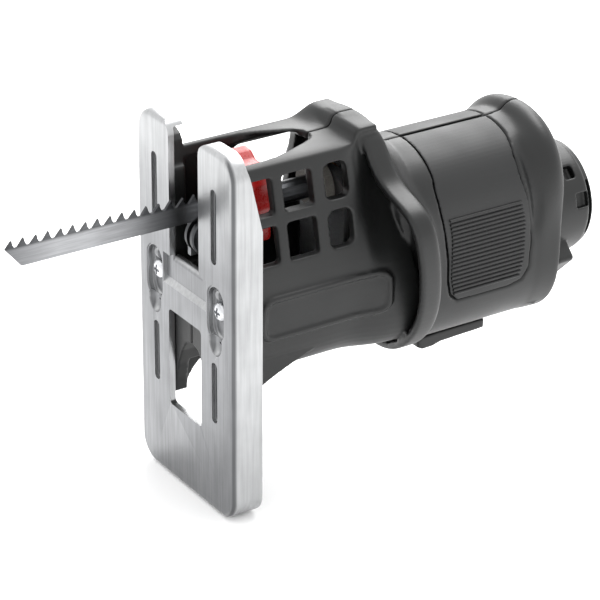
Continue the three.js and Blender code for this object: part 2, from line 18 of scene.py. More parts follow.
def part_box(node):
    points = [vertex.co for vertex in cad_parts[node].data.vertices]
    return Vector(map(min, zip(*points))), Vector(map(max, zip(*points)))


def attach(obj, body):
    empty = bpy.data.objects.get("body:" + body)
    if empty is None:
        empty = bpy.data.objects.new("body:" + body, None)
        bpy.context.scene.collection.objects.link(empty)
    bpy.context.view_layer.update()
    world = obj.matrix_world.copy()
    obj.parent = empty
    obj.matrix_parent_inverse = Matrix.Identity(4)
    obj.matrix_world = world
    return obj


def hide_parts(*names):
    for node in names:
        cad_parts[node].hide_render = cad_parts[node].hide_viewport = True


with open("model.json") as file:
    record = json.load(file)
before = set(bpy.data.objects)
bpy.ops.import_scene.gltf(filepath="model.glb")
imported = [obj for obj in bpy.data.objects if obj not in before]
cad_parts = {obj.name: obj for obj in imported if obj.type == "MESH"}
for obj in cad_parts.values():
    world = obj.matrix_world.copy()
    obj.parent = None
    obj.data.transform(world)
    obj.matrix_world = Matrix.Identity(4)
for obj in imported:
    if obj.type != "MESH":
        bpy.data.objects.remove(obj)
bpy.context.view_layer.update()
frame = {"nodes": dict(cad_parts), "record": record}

log = logging.getLogger("jigsaw_head")

MM = 0.001
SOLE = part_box("shoe")[0].x
FROM_SOLE = Matrix.Translation((SOLE, 0, 0)) @ Matrix.Scale(MM, 4)

Point2 = tuple[float, float]
Point3 = tuple[float, float, float]

# How a metal's lines are drawn out: not at all, or along X.
EVEN: Point3 = (1.0, 1.0, 1.0)
ALONG_X: Point3 = (0.05, 1.0, 1.0)


class Axis(Enum):
    """The direction that an outline is pulled along, with the matrix that turns +Z onto it."""

    X = "x"
    Y = "y"
    Z = "z"

    def place(self, u: float, v: float, w: float) -> Point3:
        """Puts outline coordinates u, v and a distance w along this axis into X, Y, Z."""
        return {"x": (w, u, v), "y": (u, w, v), "z": (u, v, w)}[self.value]


class Operation(Enum):
    """What a boolean does with the second body."""

    JOIN = "UNION"
    CUT = "DIFFERENCE"
    COMMON = "INTERSECT"


# ---------------------------------------------------------------- bodies
class Blank:
    """A closed body in millimetres, joined and cut like a workpiece before it becomes a finished piece."""

    def __init__(self, shape: bmesh.types.BMesh, tidy: bool = True) -> None:
        """Takes over a bmesh.

        Args:
            shape: the closed surface; it is freed here.
            tidy: merges doubles and turns every face outwards.
        """
        if tidy:
            bmesh.ops.remove_doubles(shape, verts=shape.verts, dist=1e-4)
            bmesh.ops.recalc_face_normals(shape, faces=shape.faces)
        mesh = bpy.data.meshes.new("blank")
        shape.to_mesh(mesh)
        shape.free()
        self.thing = bpy.data.objects.new("blank", mesh)
        bpy.context.scene.collection.objects.link(self.thing)

    def copy(self) -> "Blank":
        """Returns a second body with the same surface.

        Returns:
            The new body.
        """
        shape = bmesh.new()
        shape.from_mesh(self.thing.data)
        return Blank(shape, tidy=False)

    def place(self, matrix: Matrix) -> "Blank":
        """Moves or turns the body."""
        self.thing.data.transform(matrix)
        return self

    def modify(self, kind: str, **settings: object) -> "Blank":
        """Runs one modifier and keeps its result.

        Args:
            kind: Blender's name for the modifier.
            settings: its properties.

        Returns:
            This body.
        """
        modifier = self.thing.modifiers.new("step", kind)
        for name, value in settings.items():
            setattr(modifier, name, value)
        return self.bake()

    def bake(self) -> "Blank":
        """Keeps the result of every modifier in the mesh.

        Returns:
            This body.
        """
        bpy.context.view_layer.update()
        shown = self.thing.evaluated_get(bpy.context.evaluated_depsgraph_get())
        mesh = bpy.data.meshes.new_from_object(shown)
        worn = self.thing.data
        self.thing.modifiers.clear()
        self.thing.data = mesh
        bpy.data.meshes.remove(worn)
        return self

    def combine(self, operation: Operation, *others: "Blank") -> "Blank":
        """Joins, cuts or intersects with other bodies, which are used up.

        Args:
            operation: what to do with them.
            others: the other bodies, in order.

        Returns:
            This body.
        """
        for other in others:
            step = self.thing.modifiers.new("step", "BOOLEAN")
            step.operation = operation.value
            step.solver = "MANIFOLD"
            step.object = other.thing
        self.bake()
        for other in others:
            other.discard()
        return self

    def join(self, *others: "Blank") -> "Blank":
        """Adds other bodies to this one."""
        return self.combine(Operation.JOIN, *others)

    def cut(self, *others: "Blank") -> "Blank":
        """Takes other bodies away from this one."""
        return self.combine(Operation.CUT, *others)

    def common(self, *others: "Blank") -> "Blank":
        """Keeps only what this body shares with the others."""
        return self.combine(Operation.COMMON, *others)

    def mould(self, grain: float, passes: int) -> "Blank":
        """Rounds every edge a little, as a moulding's edges are.

        Args:
            grain: the side of the cubes the surface is rebuilt on, in millimetres.
            passes: how many times it is smoothed afterwards.

        Returns:
            This body.
        """
        self.modify("REMESH", mode="VOXEL", voxel_size=grain, use_smooth_shade=True)
        return self.modify("SMOOTH", factor=0.5, iterations=passes)

    def discard(self) -> None:
        """Removes the body from the scene."""
        mesh = self.thing.data
        bpy.data.objects.remove(self.thing)
        bpy.data.meshes.remove(mesh)


@dataclass
class Fitting:
    """Where a finished piece belongs: its name, its moving body, its finish and what it stands for."""

    name: str
    body: str
    slot: str
    stands_for: tuple[str, ...] = ()


def finish_piece(
    blank: Blank, fitting: Fitting, material: bpy.types.Material, crease: float | None = None
) -> bpy.types.Object:
    """Turns a blank into a finished piece in the row's frame.

    Args:
        blank: the body, in millimetres from the sole.
        fitting: its name, body and slot.
        material: what it is made of.
        crease: edges sharper than this many degrees stay sharp; None keeps all of them smooth.

    Returns:
        The finished object.
    """
    piece = blank.thing
    piece.name = fitting.name
    piece.data.name = fitting.name
    piece.data.transform(FROM_SOLE)
    piece.data.shade_smooth()
    if crease is not None:
        piece.data.set_sharp_from_angle(angle=math.radians(crease))
    piece.data.materials.clear()
    piece.data.materials.append(material)
    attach(piece, fitting.body)
    if fitting.stands_for:
        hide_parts(*fitting.stands_for)
    log.info("%s: %d faces on %s", fitting.name, len(piece.data.polygons), fitting.body)
    return piece


# ---------------------------------------------------------------- shapes
def block(low: Point3, high: Point3, rounding: float = 0.0, segments: int = 3) -> Blank:
    """A box between two corners, with rounded edges if asked.

    Args:
        low: the corner with the smallest coordinates.
        high: the opposite corner.
        rounding: radius of every edge.
        segments: facets in each round.

    Returns:
        The closed body.
    """
    shape = bmesh.new()
    bmesh.ops.create_cube(shape, size=1)
    size = Vector(high) - Vector(low)
    bmesh.ops.scale(shape, vec=size, verts=shape.verts)
    bmesh.ops.translate(shape, vec=(Vector(high) + Vector(low)) / 2, verts=shape.verts)
    if rounding:
        soften(shape, shape.edges[:], rounding, segments)
    return Blank(shape)


def soften(shape: bmesh.types.BMesh, edges: list, width: float, segments: int) -> None:
    """Bevels some edges of a shape to a round of the given width.

    Args:
        shape: the shape that holds the edges.
        edges: the edges to round.
        width: how far from its edge each round starts.
        segments: facets in each round.
    """
    bmesh.ops.bevel(
        shape, geom=edges, offset=width, offset_type="OFFSET", affect="EDGES", segments=segments,
        profile=0.5, material=-1, clamp_overlap=True,
    )


def prism(
    points: Sequence[Point2], axis: Axis, start: float, end: float,
    corner: float = 0.0, rim: float = 0.0, far_rim: float = 0.0, segments: int = 5,
) -> Blank:
    """An outline pulled along an axis.

    Args:
        points: the outline's corners.
        axis: the direction of the pull.
        start: where it starts on that axis.
        end: where it ends.
        corner: radius of the outline's corners.
        rim: radius of the edge round the starting face.
        far_rim: radius of the edge round the ending face.
        segments: facets in each round.

    Returns:
        The closed body.
    """
    shape = bmesh.new()
    base = shape.faces.new([shape.verts.new(axis.place(u, v, start)) for u, v in points])
    pulled = bmesh.ops.extrude_face_region(shape, geom=[base])["geom"]
    reach = Vector(axis.place(0, 0, end - start))
    bmesh.ops.translate(shape, vec=reach, verts=[v for v in pulled if isinstance(v, bmesh.types.BMVert)])
    along = reach.normalized()
    if corner:
        upright = []
        for edge in shape.edges:
            direction = (edge.verts[1].co - edge.verts[0].co).normalized()
            if abs(direction.dot(along)) > 0.99:
                upright.append(edge)
        soften(shape, upright, corner, segments)
    for level, radius in ((start, rim), (end, far_rim)):
        if radius:
            loop = [e for e in shape.edges if all(abs(v.co.dot(along) - level) < 1e-4 for v in e.verts)]
            soften(shape, loop, radius, 3)
    return Blank(shape)


def rectangle(u0: float, u1: float, v0: float, v1: float) -> list[Point2]:
    """The four corners of a rectangle, in order."""
    return [(u0, v0), (u1, v0), (u1, v1), (u0, v1)]


def rod(
    axis: Axis, radius: float, start: float, end: float, u: float, v: float, sides: int = 40
) -> Blank:
    """A round bar along an axis, centred on (u, v).

    Args:
        axis: the bar's direction.
        radius: its radius.
        start: where it starts on that axis.
        end: where it ends.
        u: its place across, in the outline's first coordinate.
        v: its place in the outline's second coordinate.
        sides: facets round it.

    Returns:
        The closed body.
    """
    ring = [
        (u + radius * math.cos(math.tau * i / sides), v + radius * math.sin(math.tau * i / sides))
        for i in range(sides)
    ]
    return prism(ring, axis, start, end)


def turned(profile: Sequence[Point2], y: float, z: float, steps: int = 72, closed: bool = True) -> Blank:
    """A body turned about a line along X.

    Args:
        profile: (x, radius) points of the half section, in order.
        y: the line's place across.
        z: the line's height.
        steps: facets round it.
        closed: joins the last point back to the first; False when both lie on the line itself.

    Returns:
        The closed body.
    """
    shape = bmesh.new()
    corners = [shape.verts.new((x, y, z + radius)) for x, radius in profile]
    pairs = list(zip(corners, corners[1:])) + ([(corners[-1], corners[0])] if closed else [])
    edges = [shape.edges.new(pair) for pair in pairs]
    bmesh.ops.spin(
        shape, geom=corners + edges, cent=(0, y, z), axis=(1, 0, 0), dvec=(0, 0, 0),
        angle=math.tau, steps=steps, use_merge=True, use_duplicate=False,
    )
    return Blank(shape)


def loft(rings: Sequence[Sequence[Point3]]) -> Blank:
    """A smooth body through a row of rings that have the same number of points.

    Args:
        rings: the rings, front to rear.

    Returns:
        The closed body.
    """
    shape = bmesh.new()
    loops = []
    for ring in rings:
        corners = [shape.verts.new(point) for point in ring]
        loops.append([shape.edges.new((a, b)) for a, b in zip(corners, corners[1:] + corners[:1])])
    for near, far in zip(loops, loops[1:]):
        bmesh.ops.bridge_loops(shape, edges=near + far)
    for end in (loops[0], loops[-1]):
        bmesh.ops.contextual_create(shape, geom=end)
    return Blank(shape).modify("SUBSURF", levels=2, render_levels=2)


def both_sides(half: Sequence[Point2]) -> list[Point2]:
    """A closed outline from the points of its right half, top first."""
    return list(half) + [(-u, v) for u, v in reversed(half) if u > 1e-6]


def quarter_turn() -> list[float]:
    """The angles of a quarter round, from 0 to 90 degrees in steps of 15."""
    return [math.radians(15 * i) for i in range(7)]


def between(table: Sequence[Point2], at: float) -> float:
    """Reads a rising table of (position, value) pairs at a position.

    Args:
        table: the pairs, rising by position.
        at: the position.

    Returns:
        The value there, held at the table's ends.
    """
    for (p0, v0), (p1, v1) in zip(table, table[1:]):
        if at <= p1:
            share = max(0.0, (at - p0) / (p1 - p0))
            return v0 + (v1 - v0) * share
    return table[-1][1]


def ease(low: float, high: float, at: float) -> float:
    """Goes smoothly from 0 at low to 1 at high."""
    share = min(1.0, max(0.0, (at - low) / (high - low)))
    return share * share * (3 - 2 * share)


# ---------------------------------------------------------------- finishes
def linear(code: str) -> tuple[float, float, float, float]:
    """Turns an sRGB hex colour such as "#2a2b2c" into linear red, green, blue and alpha.

    Args:
        code: the colour, with six hex digits.

    Returns:
        The four channels.
    """
    channels = [int(code[i : i + 2], 16) / 255 for i in (1, 3, 5)]
    curve = [c / 12.92 if c <= 0.04045 else ((c + 0.055) / 1.055) ** 2.4 for c in channels]
    return (*curve, 1.0)


def per_metre(size_mm: float) -> float:
    """The texture scale that makes one cell of a pattern this many millimetres across."""
    return 1.0 / (size_mm * MM)


def add_node(
    tree: bpy.types.NodeTree, kind: str, settings: dict | None = None, **sockets: object
) -> bpy.types.Node:
    """Adds a node with its settings, and sets or links its sockets.

    Args:
        tree: the material's node tree.
        kind: the node's type name.
        settings: properties of the node.
        sockets: values or output sockets by input name, with _ for a space.

    Returns:
        The node.
    """
    node = tree.nodes.new(kind)
    for name, value in (settings or {}).items():
        setattr(node, name, value)
    for name, value in sockets.items():
        socket = node.inputs[name.replace("_", " ")]
        if isinstance(value, bpy.types.NodeSocket):
            tree.links.new(value, socket)
        else:
            socket.default_value = value
    return node


def ramp(tree: bpy.types.NodeTree, value: bpy.types.NodeSocket, low: float, high: float,
         out_low: float, out_high: float) -> bpy.types.NodeSocket:
    """Maps part of a pattern's range onto another range, with its ends held.

    Args:
        tree: the material's node tree.
        value: the pattern.
        low: where the pattern's range starts.
        high: where it ends.
        out_low: the result at low.
        out_high: the result at high.

    Returns:
        The mapped value.
    """
    node = add_node(tree, "ShaderNodeMapRange", {"clamp": True}, Value=value)
    for name, number in (("From Min", low), ("From Max", high), ("To Min", out_low), ("To Max", out_high)):
        node.inputs[name].default_value = number
    return node.outputs["Result"]


def blend_colours(tree: bpy.types.NodeTree, share: bpy.types.NodeSocket, first: object, second: object,
                  how: str = "MIX") -> bpy.types.NodeSocket:
    """Mixes two colours by a pattern.

    Args:
        tree: the material's node tree.
        share: how much of the second colour shows.
        first: a colour or the socket that gives one.
        second: a colour or the socket that gives one.
        how: Blender's name for the way of mixing.

    Returns:
        The mixed colour.
    """
    node = add_node(tree, "ShaderNodeMix", {"data_type": "RGBA", "blend_type": how})
    tree.links.new(share, node.inputs[0])
    for socket, colour in ((node.inputs[6], first), (node.inputs[7], second)):
        if isinstance(colour, bpy.types.NodeSocket):
            tree.links.new(colour, socket)
        else:
            socket.default_value = colour
    return node.outputs[2]


def new_material(name: str) -> tuple[bpy.types.Material, bpy.types.NodeTree, bpy.types.NodeSocket]:
    """Starts an empty material.

    Args:
        name: its name.

    Returns:
        The material, its node tree and the object coordinates.
    """
    material = bpy.data.materials.new(name)
    material.use_nodes = True
    tree = material.node_tree
    tree.nodes.clear()
    place = tree.nodes.new("ShaderNodeTexCoord").outputs["Object"]
    return material, tree, place


def output(tree: bpy.types.NodeTree, shader: bpy.types.Node) -> None:
    """Sends a shader to the surface."""
    add_node(tree, "ShaderNodeOutputMaterial", Surface=shader.outputs[0])


@dataclass(frozen=True)
class SparkErodedPlastic:
    """Glass-filled nylon from a spark-eroded mould: a fine pebble grain that scatters the light.

    The real grain is about 0.1 mm, too fine to show, so it is drawn as coarse as grain_mm says.
    """

    name: str
    colour: str
    worn_colour: str
    roughness: float
    grain_mm: float = 0.45
    grain_height_mm: float = 0.035

    def build(self) -> bpy.types.Material:
        """Makes the material: pebble grain, cloudy sheen from handling and faint scuffs.

        Returns:
            The material.
        """
        material, tree, place = new_material(self.name)
        grain = add_node(tree, "ShaderNodeTexNoise", Vector=place, Scale=per_metre(self.grain_mm),
                         Detail=3.0, Roughness=0.6)
        cloud = add_node(tree, "ShaderNodeTexNoise", Vector=place, Scale=per_metre(22), Detail=4.0)
        stretched = add_node(tree, "ShaderNodeMapping", Vector=place, Scale=(0.25, 1.0, 1.6),
                             Rotation=(0.0, 0.5, 0.2))
        scuff = add_node(tree, "ShaderNodeTexNoise", Vector=stretched.outputs[0], Scale=per_metre(3.2),
                         Detail=5.0, Roughness=0.7)
        worn = ramp(tree, scuff.outputs["Fac"], 0.58, 0.78, 0.0, 0.55)
        base = blend_colours(tree, ramp(tree, cloud.outputs["Fac"], 0.3, 0.7, 0.0, 0.5),
                             linear(self.colour), linear(self.worn_colour))
        colour = blend_colours(tree, worn, base, linear(self.worn_colour))
        dull = ramp(tree, cloud.outputs["Fac"], 0.3, 0.7, self.roughness - 0.07, self.roughness + 0.07)
        pebble = add_node(tree, "ShaderNodeBump", Height=grain.outputs["Fac"],
                          Distance=self.grain_height_mm * MM, Strength=0.8)
        shader = add_node(tree, "ShaderNodeBsdfPrincipled", Base_Color=colour, Roughness=dull,
                          Normal=pebble.outputs[0])
        shader.inputs["Specular IOR Level"].default_value = 0.4
        output(tree, shader)
        return material


@dataclass(frozen=True)
class BrushedMetal:
    """Rolled or ground metal: fine lines along one direction, over patches of duller and brighter surface."""

    name: str
    colour: str
    dark_colour: str
    roughness: float
    line_mm: float = 0.5
    stretch: Point3 = (1.0, 1.0, 0.03)
    line_height_mm: float = 0.004
    patch_mm: float = 14.0

    def build(self) -> bpy.types.Material:
        """Makes the material: drawn-out lines in bump, roughness and colour, and cloudy plating.

        Returns:
            The material.
        """
        material, tree, place = new_material(self.name)
        drawn = add_node(tree, "ShaderNodeMapping", Vector=place, Scale=self.stretch)
        lines = add_node(tree, "ShaderNodeTexNoise", Vector=drawn.outputs[0], Scale=per_metre(self.line_mm),
                         Detail=4.0, Roughness=0.65)
        patch = add_node(tree, "ShaderNodeTexNoise", Vector=place, Scale=per_metre(self.patch_mm), Detail=3.0)
        speck = add_node(tree, "ShaderNodeTexNoise", Vector=place, Scale=per_metre(0.8), Detail=2.0)
        tone = blend_colours(tree, ramp(tree, patch.outputs["Fac"], 0.3, 0.72, 0.0, 0.6),
                             linear(self.colour), linear(self.dark_colour))
        colour = blend_colours(tree, ramp(tree, lines.outputs["Fac"], 0.35, 0.75, 0.0, 0.45),
                               tone, linear(self.dark_colour))
        gloss = add_node(tree, "ShaderNodeMath", {"operation": "ADD"})
        lined = ramp(tree, lines.outputs["Fac"], 0.3, 0.7, self.roughness - 0.05, self.roughness + 0.05)
        tree.links.new(lined, gloss.inputs[0])
        tree.links.new(ramp(tree, speck.outputs["Fac"], 0.45, 0.8, 0.0, 0.08), gloss.inputs[1])
        scratch = add_node(tree, "ShaderNodeBump", Height=lines.outputs["Fac"],
                           Distance=self.line_height_mm * MM, Strength=0.6)
        shader = add_node(tree, "ShaderNodeBsdfPrincipled", Base_Color=colour, Roughness=gloss.outputs[0],
                          Normal=scratch.outputs[0])
        shader.inputs["Metallic"].default_value = 1.0
        output(tree, shader)
        return material


@dataclass(frozen=True)
class DrawnZincSteel:
    """Drawn sheet under zinc, with painted light: the walls and rolled edges are a lighter colour than the
    sole, as a painted reflection, and the sole turns lighter towards the top.

    Painted shade darkens the floors of the pressings, only faintly near the drive axis, and a painted dark
    reflection runs along the folds between the sole and the walls.
    """

    name: str
    # The walls' colour is a painted reflection, lighter than the sole's; the sole turns to it towards the
    # top.
    wall_colour: str
    sole_colour: str
    # The dark colour of the painted shade in the pressings and of the painted dark reflection along the
    # folds.
    pressing_colour: str
    roughness: float = 0.34

    def build(self) -> bpy.types.Material:
        """Makes the material from the surface's direction and its depth behind the sole.

        Returns:
            The material.
        """
        material, tree, place = new_material(self.name)
        facing = add_node(tree, "ShaderNodeSeparateXYZ", Vector=tree.nodes[0].outputs["Normal"])
        where = add_node(tree, "ShaderNodeSeparateXYZ", Vector=place)
        sole = ramp(tree, facing.outputs["X"], -0.97, -0.8, 1.0, 0.0)
        # Painted dark reflection: a dark band along the fold between the sole and the side walls.
        painted_fold_reflection = add_node(tree, "ShaderNodeMath", {"operation": "MULTIPLY"})
        tree.links.new(ramp(tree, facing.outputs["X"], -0.5, -0.15, 1.0, 0.0), painted_fold_reflection.inputs[0])
        tree.links.new(ramp(tree, facing.outputs["Y"], -0.5, -0.2, 0.85, 0.0), painted_fold_reflection.inputs[1])
        # Painted reflection: the sole's colour turns from sole_colour low down to the lighter wall_colour
        # high up.
        painted_reflection_rise = ramp(tree, where.outputs["Z"], 12 * MM, 48 * MM, 0.0, 1.0)
        # Painted shade: floors sunk more than 1.15 mm behind the sole are darkened, only faintly within 12.5
        # mm of the drive axis.
        sunk = ramp(tree, where.outputs["X"], SOLE + 1.15 * MM, SOLE + 1.35 * MM, 0.0, 1.0)
        height = add_node(tree, "ShaderNodeMath", {"operation": "ABSOLUTE"})
        tree.links.new(where.outputs["Z"], height.inputs[0])
        painted_recess_shade = add_node(tree, "ShaderNodeMath", {"operation": "MULTIPLY"})
        tree.links.new(sunk, painted_recess_shade.inputs[0])
        tree.links.new(ramp(tree, height.outputs[0], 12.5 * MM, 15 * MM, 0.1, 1.0), painted_recess_shade.inputs[1])
        pressed = painted_recess_shade.outputs[0]
        drawn = add_node(tree, "ShaderNodeMapping", Vector=place, Scale=(1.0, 1.0, 0.04))
        lines = add_node(tree, "ShaderNodeTexNoise", Vector=drawn.outputs[0], Scale=per_metre(0.8),
                         Detail=4.0)
        cloud = add_node(tree, "ShaderNodeTexNoise", Vector=place, Scale=per_metre(12), Detail=4.0)
        sole_with_painted_reflection = blend_colours(tree, painted_reflection_rise, linear(self.sole_colour), linear(self.wall_colour))
        deep = blend_colours(tree, pressed, sole_with_painted_reflection, linear(self.pressing_colour))
        folded = blend_colours(tree, painted_fold_reflection.outputs[0], linear(self.wall_colour), linear(self.pressing_colour))
        base = blend_colours(tree, sole, folded, deep)
        shade = ramp(tree, lines.outputs["Fac"], 0.3, 0.7, 0.0, 0.3)
        streaked = blend_colours(tree, shade, base, linear("#b4b4b4"), "MULTIPLY")
        clouded = ramp(tree, cloud.outputs["Fac"], 0.35, 0.7, 0.0, 0.3)
        colour = blend_colours(tree, clouded, streaked, linear("#c4c4c4"), "MULTIPLY")
        gloss = ramp(tree, lines.outputs["Fac"], 0.3, 0.7, self.roughness - 0.05, self.roughness + 0.06)
        scratch = add_node(tree, "ShaderNodeBump", Height=lines.outputs["Fac"], Distance=0.004 * MM,
                           Strength=0.5)
        shader = add_node(tree, "ShaderNodeBsdfPrincipled", Base_Color=colour, Roughness=gloss,
                          Normal=scratch.outputs[0])
        shader.inputs["Metallic"].default_value = 1.0
        output(tree, shader)
        return material


@dataclass(frozen=True)
class GroundBladeSteel:
    """Tool steel ground along its length, brightest where it has run in the cut, with dark-ground teeth."""

    name: str
    run_colour: str
    plain_colour: str
    tooth_colour: str
    roughness: float = 0.34

    def build(self) -> bpy.types.Material:
        """Makes the material from the place along the blade and the height of the teeth.

        Returns:
            The material.
        """
        material, tree, place = new_material(self.name)
        where = add_node(tree, "ShaderNodeSeparateXYZ", Vector=place)
        out = ramp(tree, where.outputs["X"], SOLE - 62 * MM, SOLE - 42 * MM, 0.25, 1.0)
        back = ramp(tree, where.outputs["X"], SOLE - 30 * MM, SOLE + 2 * MM, 1.0, 0.0)
        run = add_node(tree, "ShaderNodeMath", {"operation": "MINIMUM"})
        tree.links.new(out, run.inputs[0])
        tree.links.new(back, run.inputs[1])
        tooth = ramp(tree, where.outputs["Z"], 28.0 * MM, 28.8 * MM, 0.0, 0.75)
        drawn = add_node(tree, "ShaderNodeMapping", Vector=place, Scale=(0.04, 1.0, 1.0))
        lines = add_node(tree, "ShaderNodeTexNoise", Vector=drawn.outputs[0], Scale=per_metre(0.4),
                         Detail=4.0)
        body = blend_colours(tree, run.outputs[0], linear(self.plain_colour), linear(self.run_colour))
        toothed = blend_colours(tree, tooth, body, linear(self.tooth_colour))
        shade = ramp(tree, lines.outputs["Fac"], 0.3, 0.7, 0.0, 0.35)
        colour = blend_colours(tree, shade, toothed, linear("#b0b0b0"), "MULTIPLY")
        gloss = ramp(tree, lines.outputs["Fac"], 0.3, 0.7, self.roughness - 0.06, self.roughness + 0.06)
        scratch = add_node(tree, "ShaderNodeBump", Height=lines.outputs["Fac"], Distance=0.008 * MM,
                           Strength=0.6)
        shader = add_node(tree, "ShaderNodeBsdfPrincipled", Base_Color=colour, Roughness=gloss,
                          Normal=scratch.outputs[0])
        shader.inputs["Metallic"].default_value = 1.0
        output(tree, shader)
        return material


@dataclass(frozen=True)
class GlossyMoulding:
    """Acetal or ABS from a polished mould: a smooth skin with slight flow waves and a clear highlight."""

    name: str
    colour: str
    deep_colour: str
    roughness: float

    def build(self) -> bpy.types.Material:
        """Makes the material: flow waves, fine pits and a slightly uneven gloss.

        Returns:
            The material.
        """
        material, tree, place = new_material(self.name)
        flow = add_node(tree, "ShaderNodeTexNoise", Vector=place, Scale=per_metre(7), Detail=2.0)
        pits = add_node(tree, "ShaderNodeTexNoise", Vector=place, Scale=per_metre(0.5), Detail=3.0)
        colour = blend_colours(tree, ramp(tree, flow.outputs["Fac"], 0.3, 0.7, 0.0, 0.7),
                               linear(self.colour), linear(self.deep_colour))
        gloss = ramp(tree, pits.outputs["Fac"], 0.3, 0.7, self.roughness - 0.06, self.roughness + 0.06)
        skin = add_node(tree, "ShaderNodeBump", Height=pits.outputs["Fac"], Distance=0.012 * MM, Strength=0.5)
        shader = add_node(tree, "ShaderNodeBsdfPrincipled", Base_Color=colour, Roughness=gloss,
                          Normal=skin.outputs[0])
        shader.inputs["IOR"].default_value = 1.48
        output(tree, shader)
        return material


@dataclass(frozen=True)
class PressedFelt:
    """Pressed wool felt: a dull, hairy disc that keeps the dust out."""

    name: str
    colour: str
    dark_colour: str

    def build(self) -> bpy.types.Material:
        """Makes the material: matted fibres and a soft sheen.

        Returns:
            The material.
        """
        material, tree, place = new_material(self.name)
        fibre = add_node(tree, "ShaderNodeTexNoise", Vector=place, Scale=per_metre(0.35), Detail=6.0,
                         Distortion=1.5)
        colour = blend_colours(tree, fibre.outputs["Fac"], linear(self.dark_colour), linear(self.colour))
        fuzz = add_node(tree, "ShaderNodeBump", Height=fibre.outputs["Fac"], Distance=0.15 * MM, Strength=0.9)
        rough = ramp(tree, fibre.outputs["Fac"], 0.2, 0.8, 0.85, 1.0)
        shader = add_node(tree, "ShaderNodeBsdfPrincipled", Base_Color=colour, Roughness=rough,
                          Normal=fuzz.outputs[0])
        shader.inputs["Sheen Weight"].default_value = 0.4
        output(tree, shader)
        return material


class Finishes:
    """Every finish of the head, made once and shared by the pieces."""

    def __init__(self) -> None:
        """Builds all the materials."""
        # Charcoal nylon: almost black, with a grey bloom where the light grazes its grain.
        self.housing = SparkErodedPlastic("spark_eroded_nylon", "#0c0d0d", "#161717", 0.44).build()
        # The soft inserts are a shade lighter and duller than the nylon round them.
        self.grip = SparkErodedPlastic(
            "soft_grip_elastomer", "#141515", "#202021", 0.52, grain_mm=0.35, grain_height_mm=0.025
        ).build()
        # The tongue comes from a smoother mould, so it shines a little more than the shells.
        self.tongue = SparkErodedPlastic(
            "smooth_moulded_nylon", "#080808", "#101010", 0.42, grain_mm=0.6, grain_height_mm=0.015
        ).build()
        # Zinc over drawn steel: walls lighter than the sole as a painted reflection, the sole lighter towards
        # the top, a painted dark reflection along the folds and painted shade in the pressings.
        self.shoe = DrawnZincSteel("zinc_plated_drawn_steel", "#b2b3b4", "#868789", "#4c4d4f").build()
        # Bright zinc on the screws gives the small hard glints in the dimples and wells.
        self.screw = BrushedMetal("bright_zinc_screw", "#dcdddf", "#a9abae", 0.24, 0.4, EVEN).build()
        # The mechanism is oil-blackened, so that only its edges glint inside the nose.
        self.steel = BrushedMetal("oil_blackened_steel", "#4b4c4e", "#2c2d2f", 0.33, 0.35, ALONG_X).build()
        # The blade is ground along its length, and its hardened steel is darker than the shoe's.
        self.blade = GroundBladeSteel("ground_blade_steel", "#9b9c9e", "#47484a", "#333436").build()
        # Sintered parts are matt and speckled, and the oil in their pores darkens them.
        self.gear = BrushedMetal("sintered_oiled_steel", "#6b6c6e", "#444547", 0.45, 0.3, EVEN, 0.02).build()
        self.bronze = BrushedMetal("sintered_bronze", "#b08a52", "#7d5f36", 0.45, 0.3, EVEN, 0.02).build()
        # Tumbled zinc casting: a soft grey without any direction.
        self.zinc = BrushedMetal("tumbled_zinc_casting", "#a6a8aa", "#808284", 0.5, 0.6, EVEN, 0.02).build()
        # Red acetal from a polished mould: the one bright colour, with a clear highlight.
        self.red = GlossyMoulding("red_acetal", "#a81512", "#860f0c", 0.3).build()
        # Wool felt stays dull from every side.
        self.felt = PressedFelt("pressed_wool_felt", "#6a6760", "#3f3d39").build()

    def by_slot(self, slot: str) -> bpy.types.Material:
        """The finish of one of the record's material slots."""
        return getattr(self, slot)


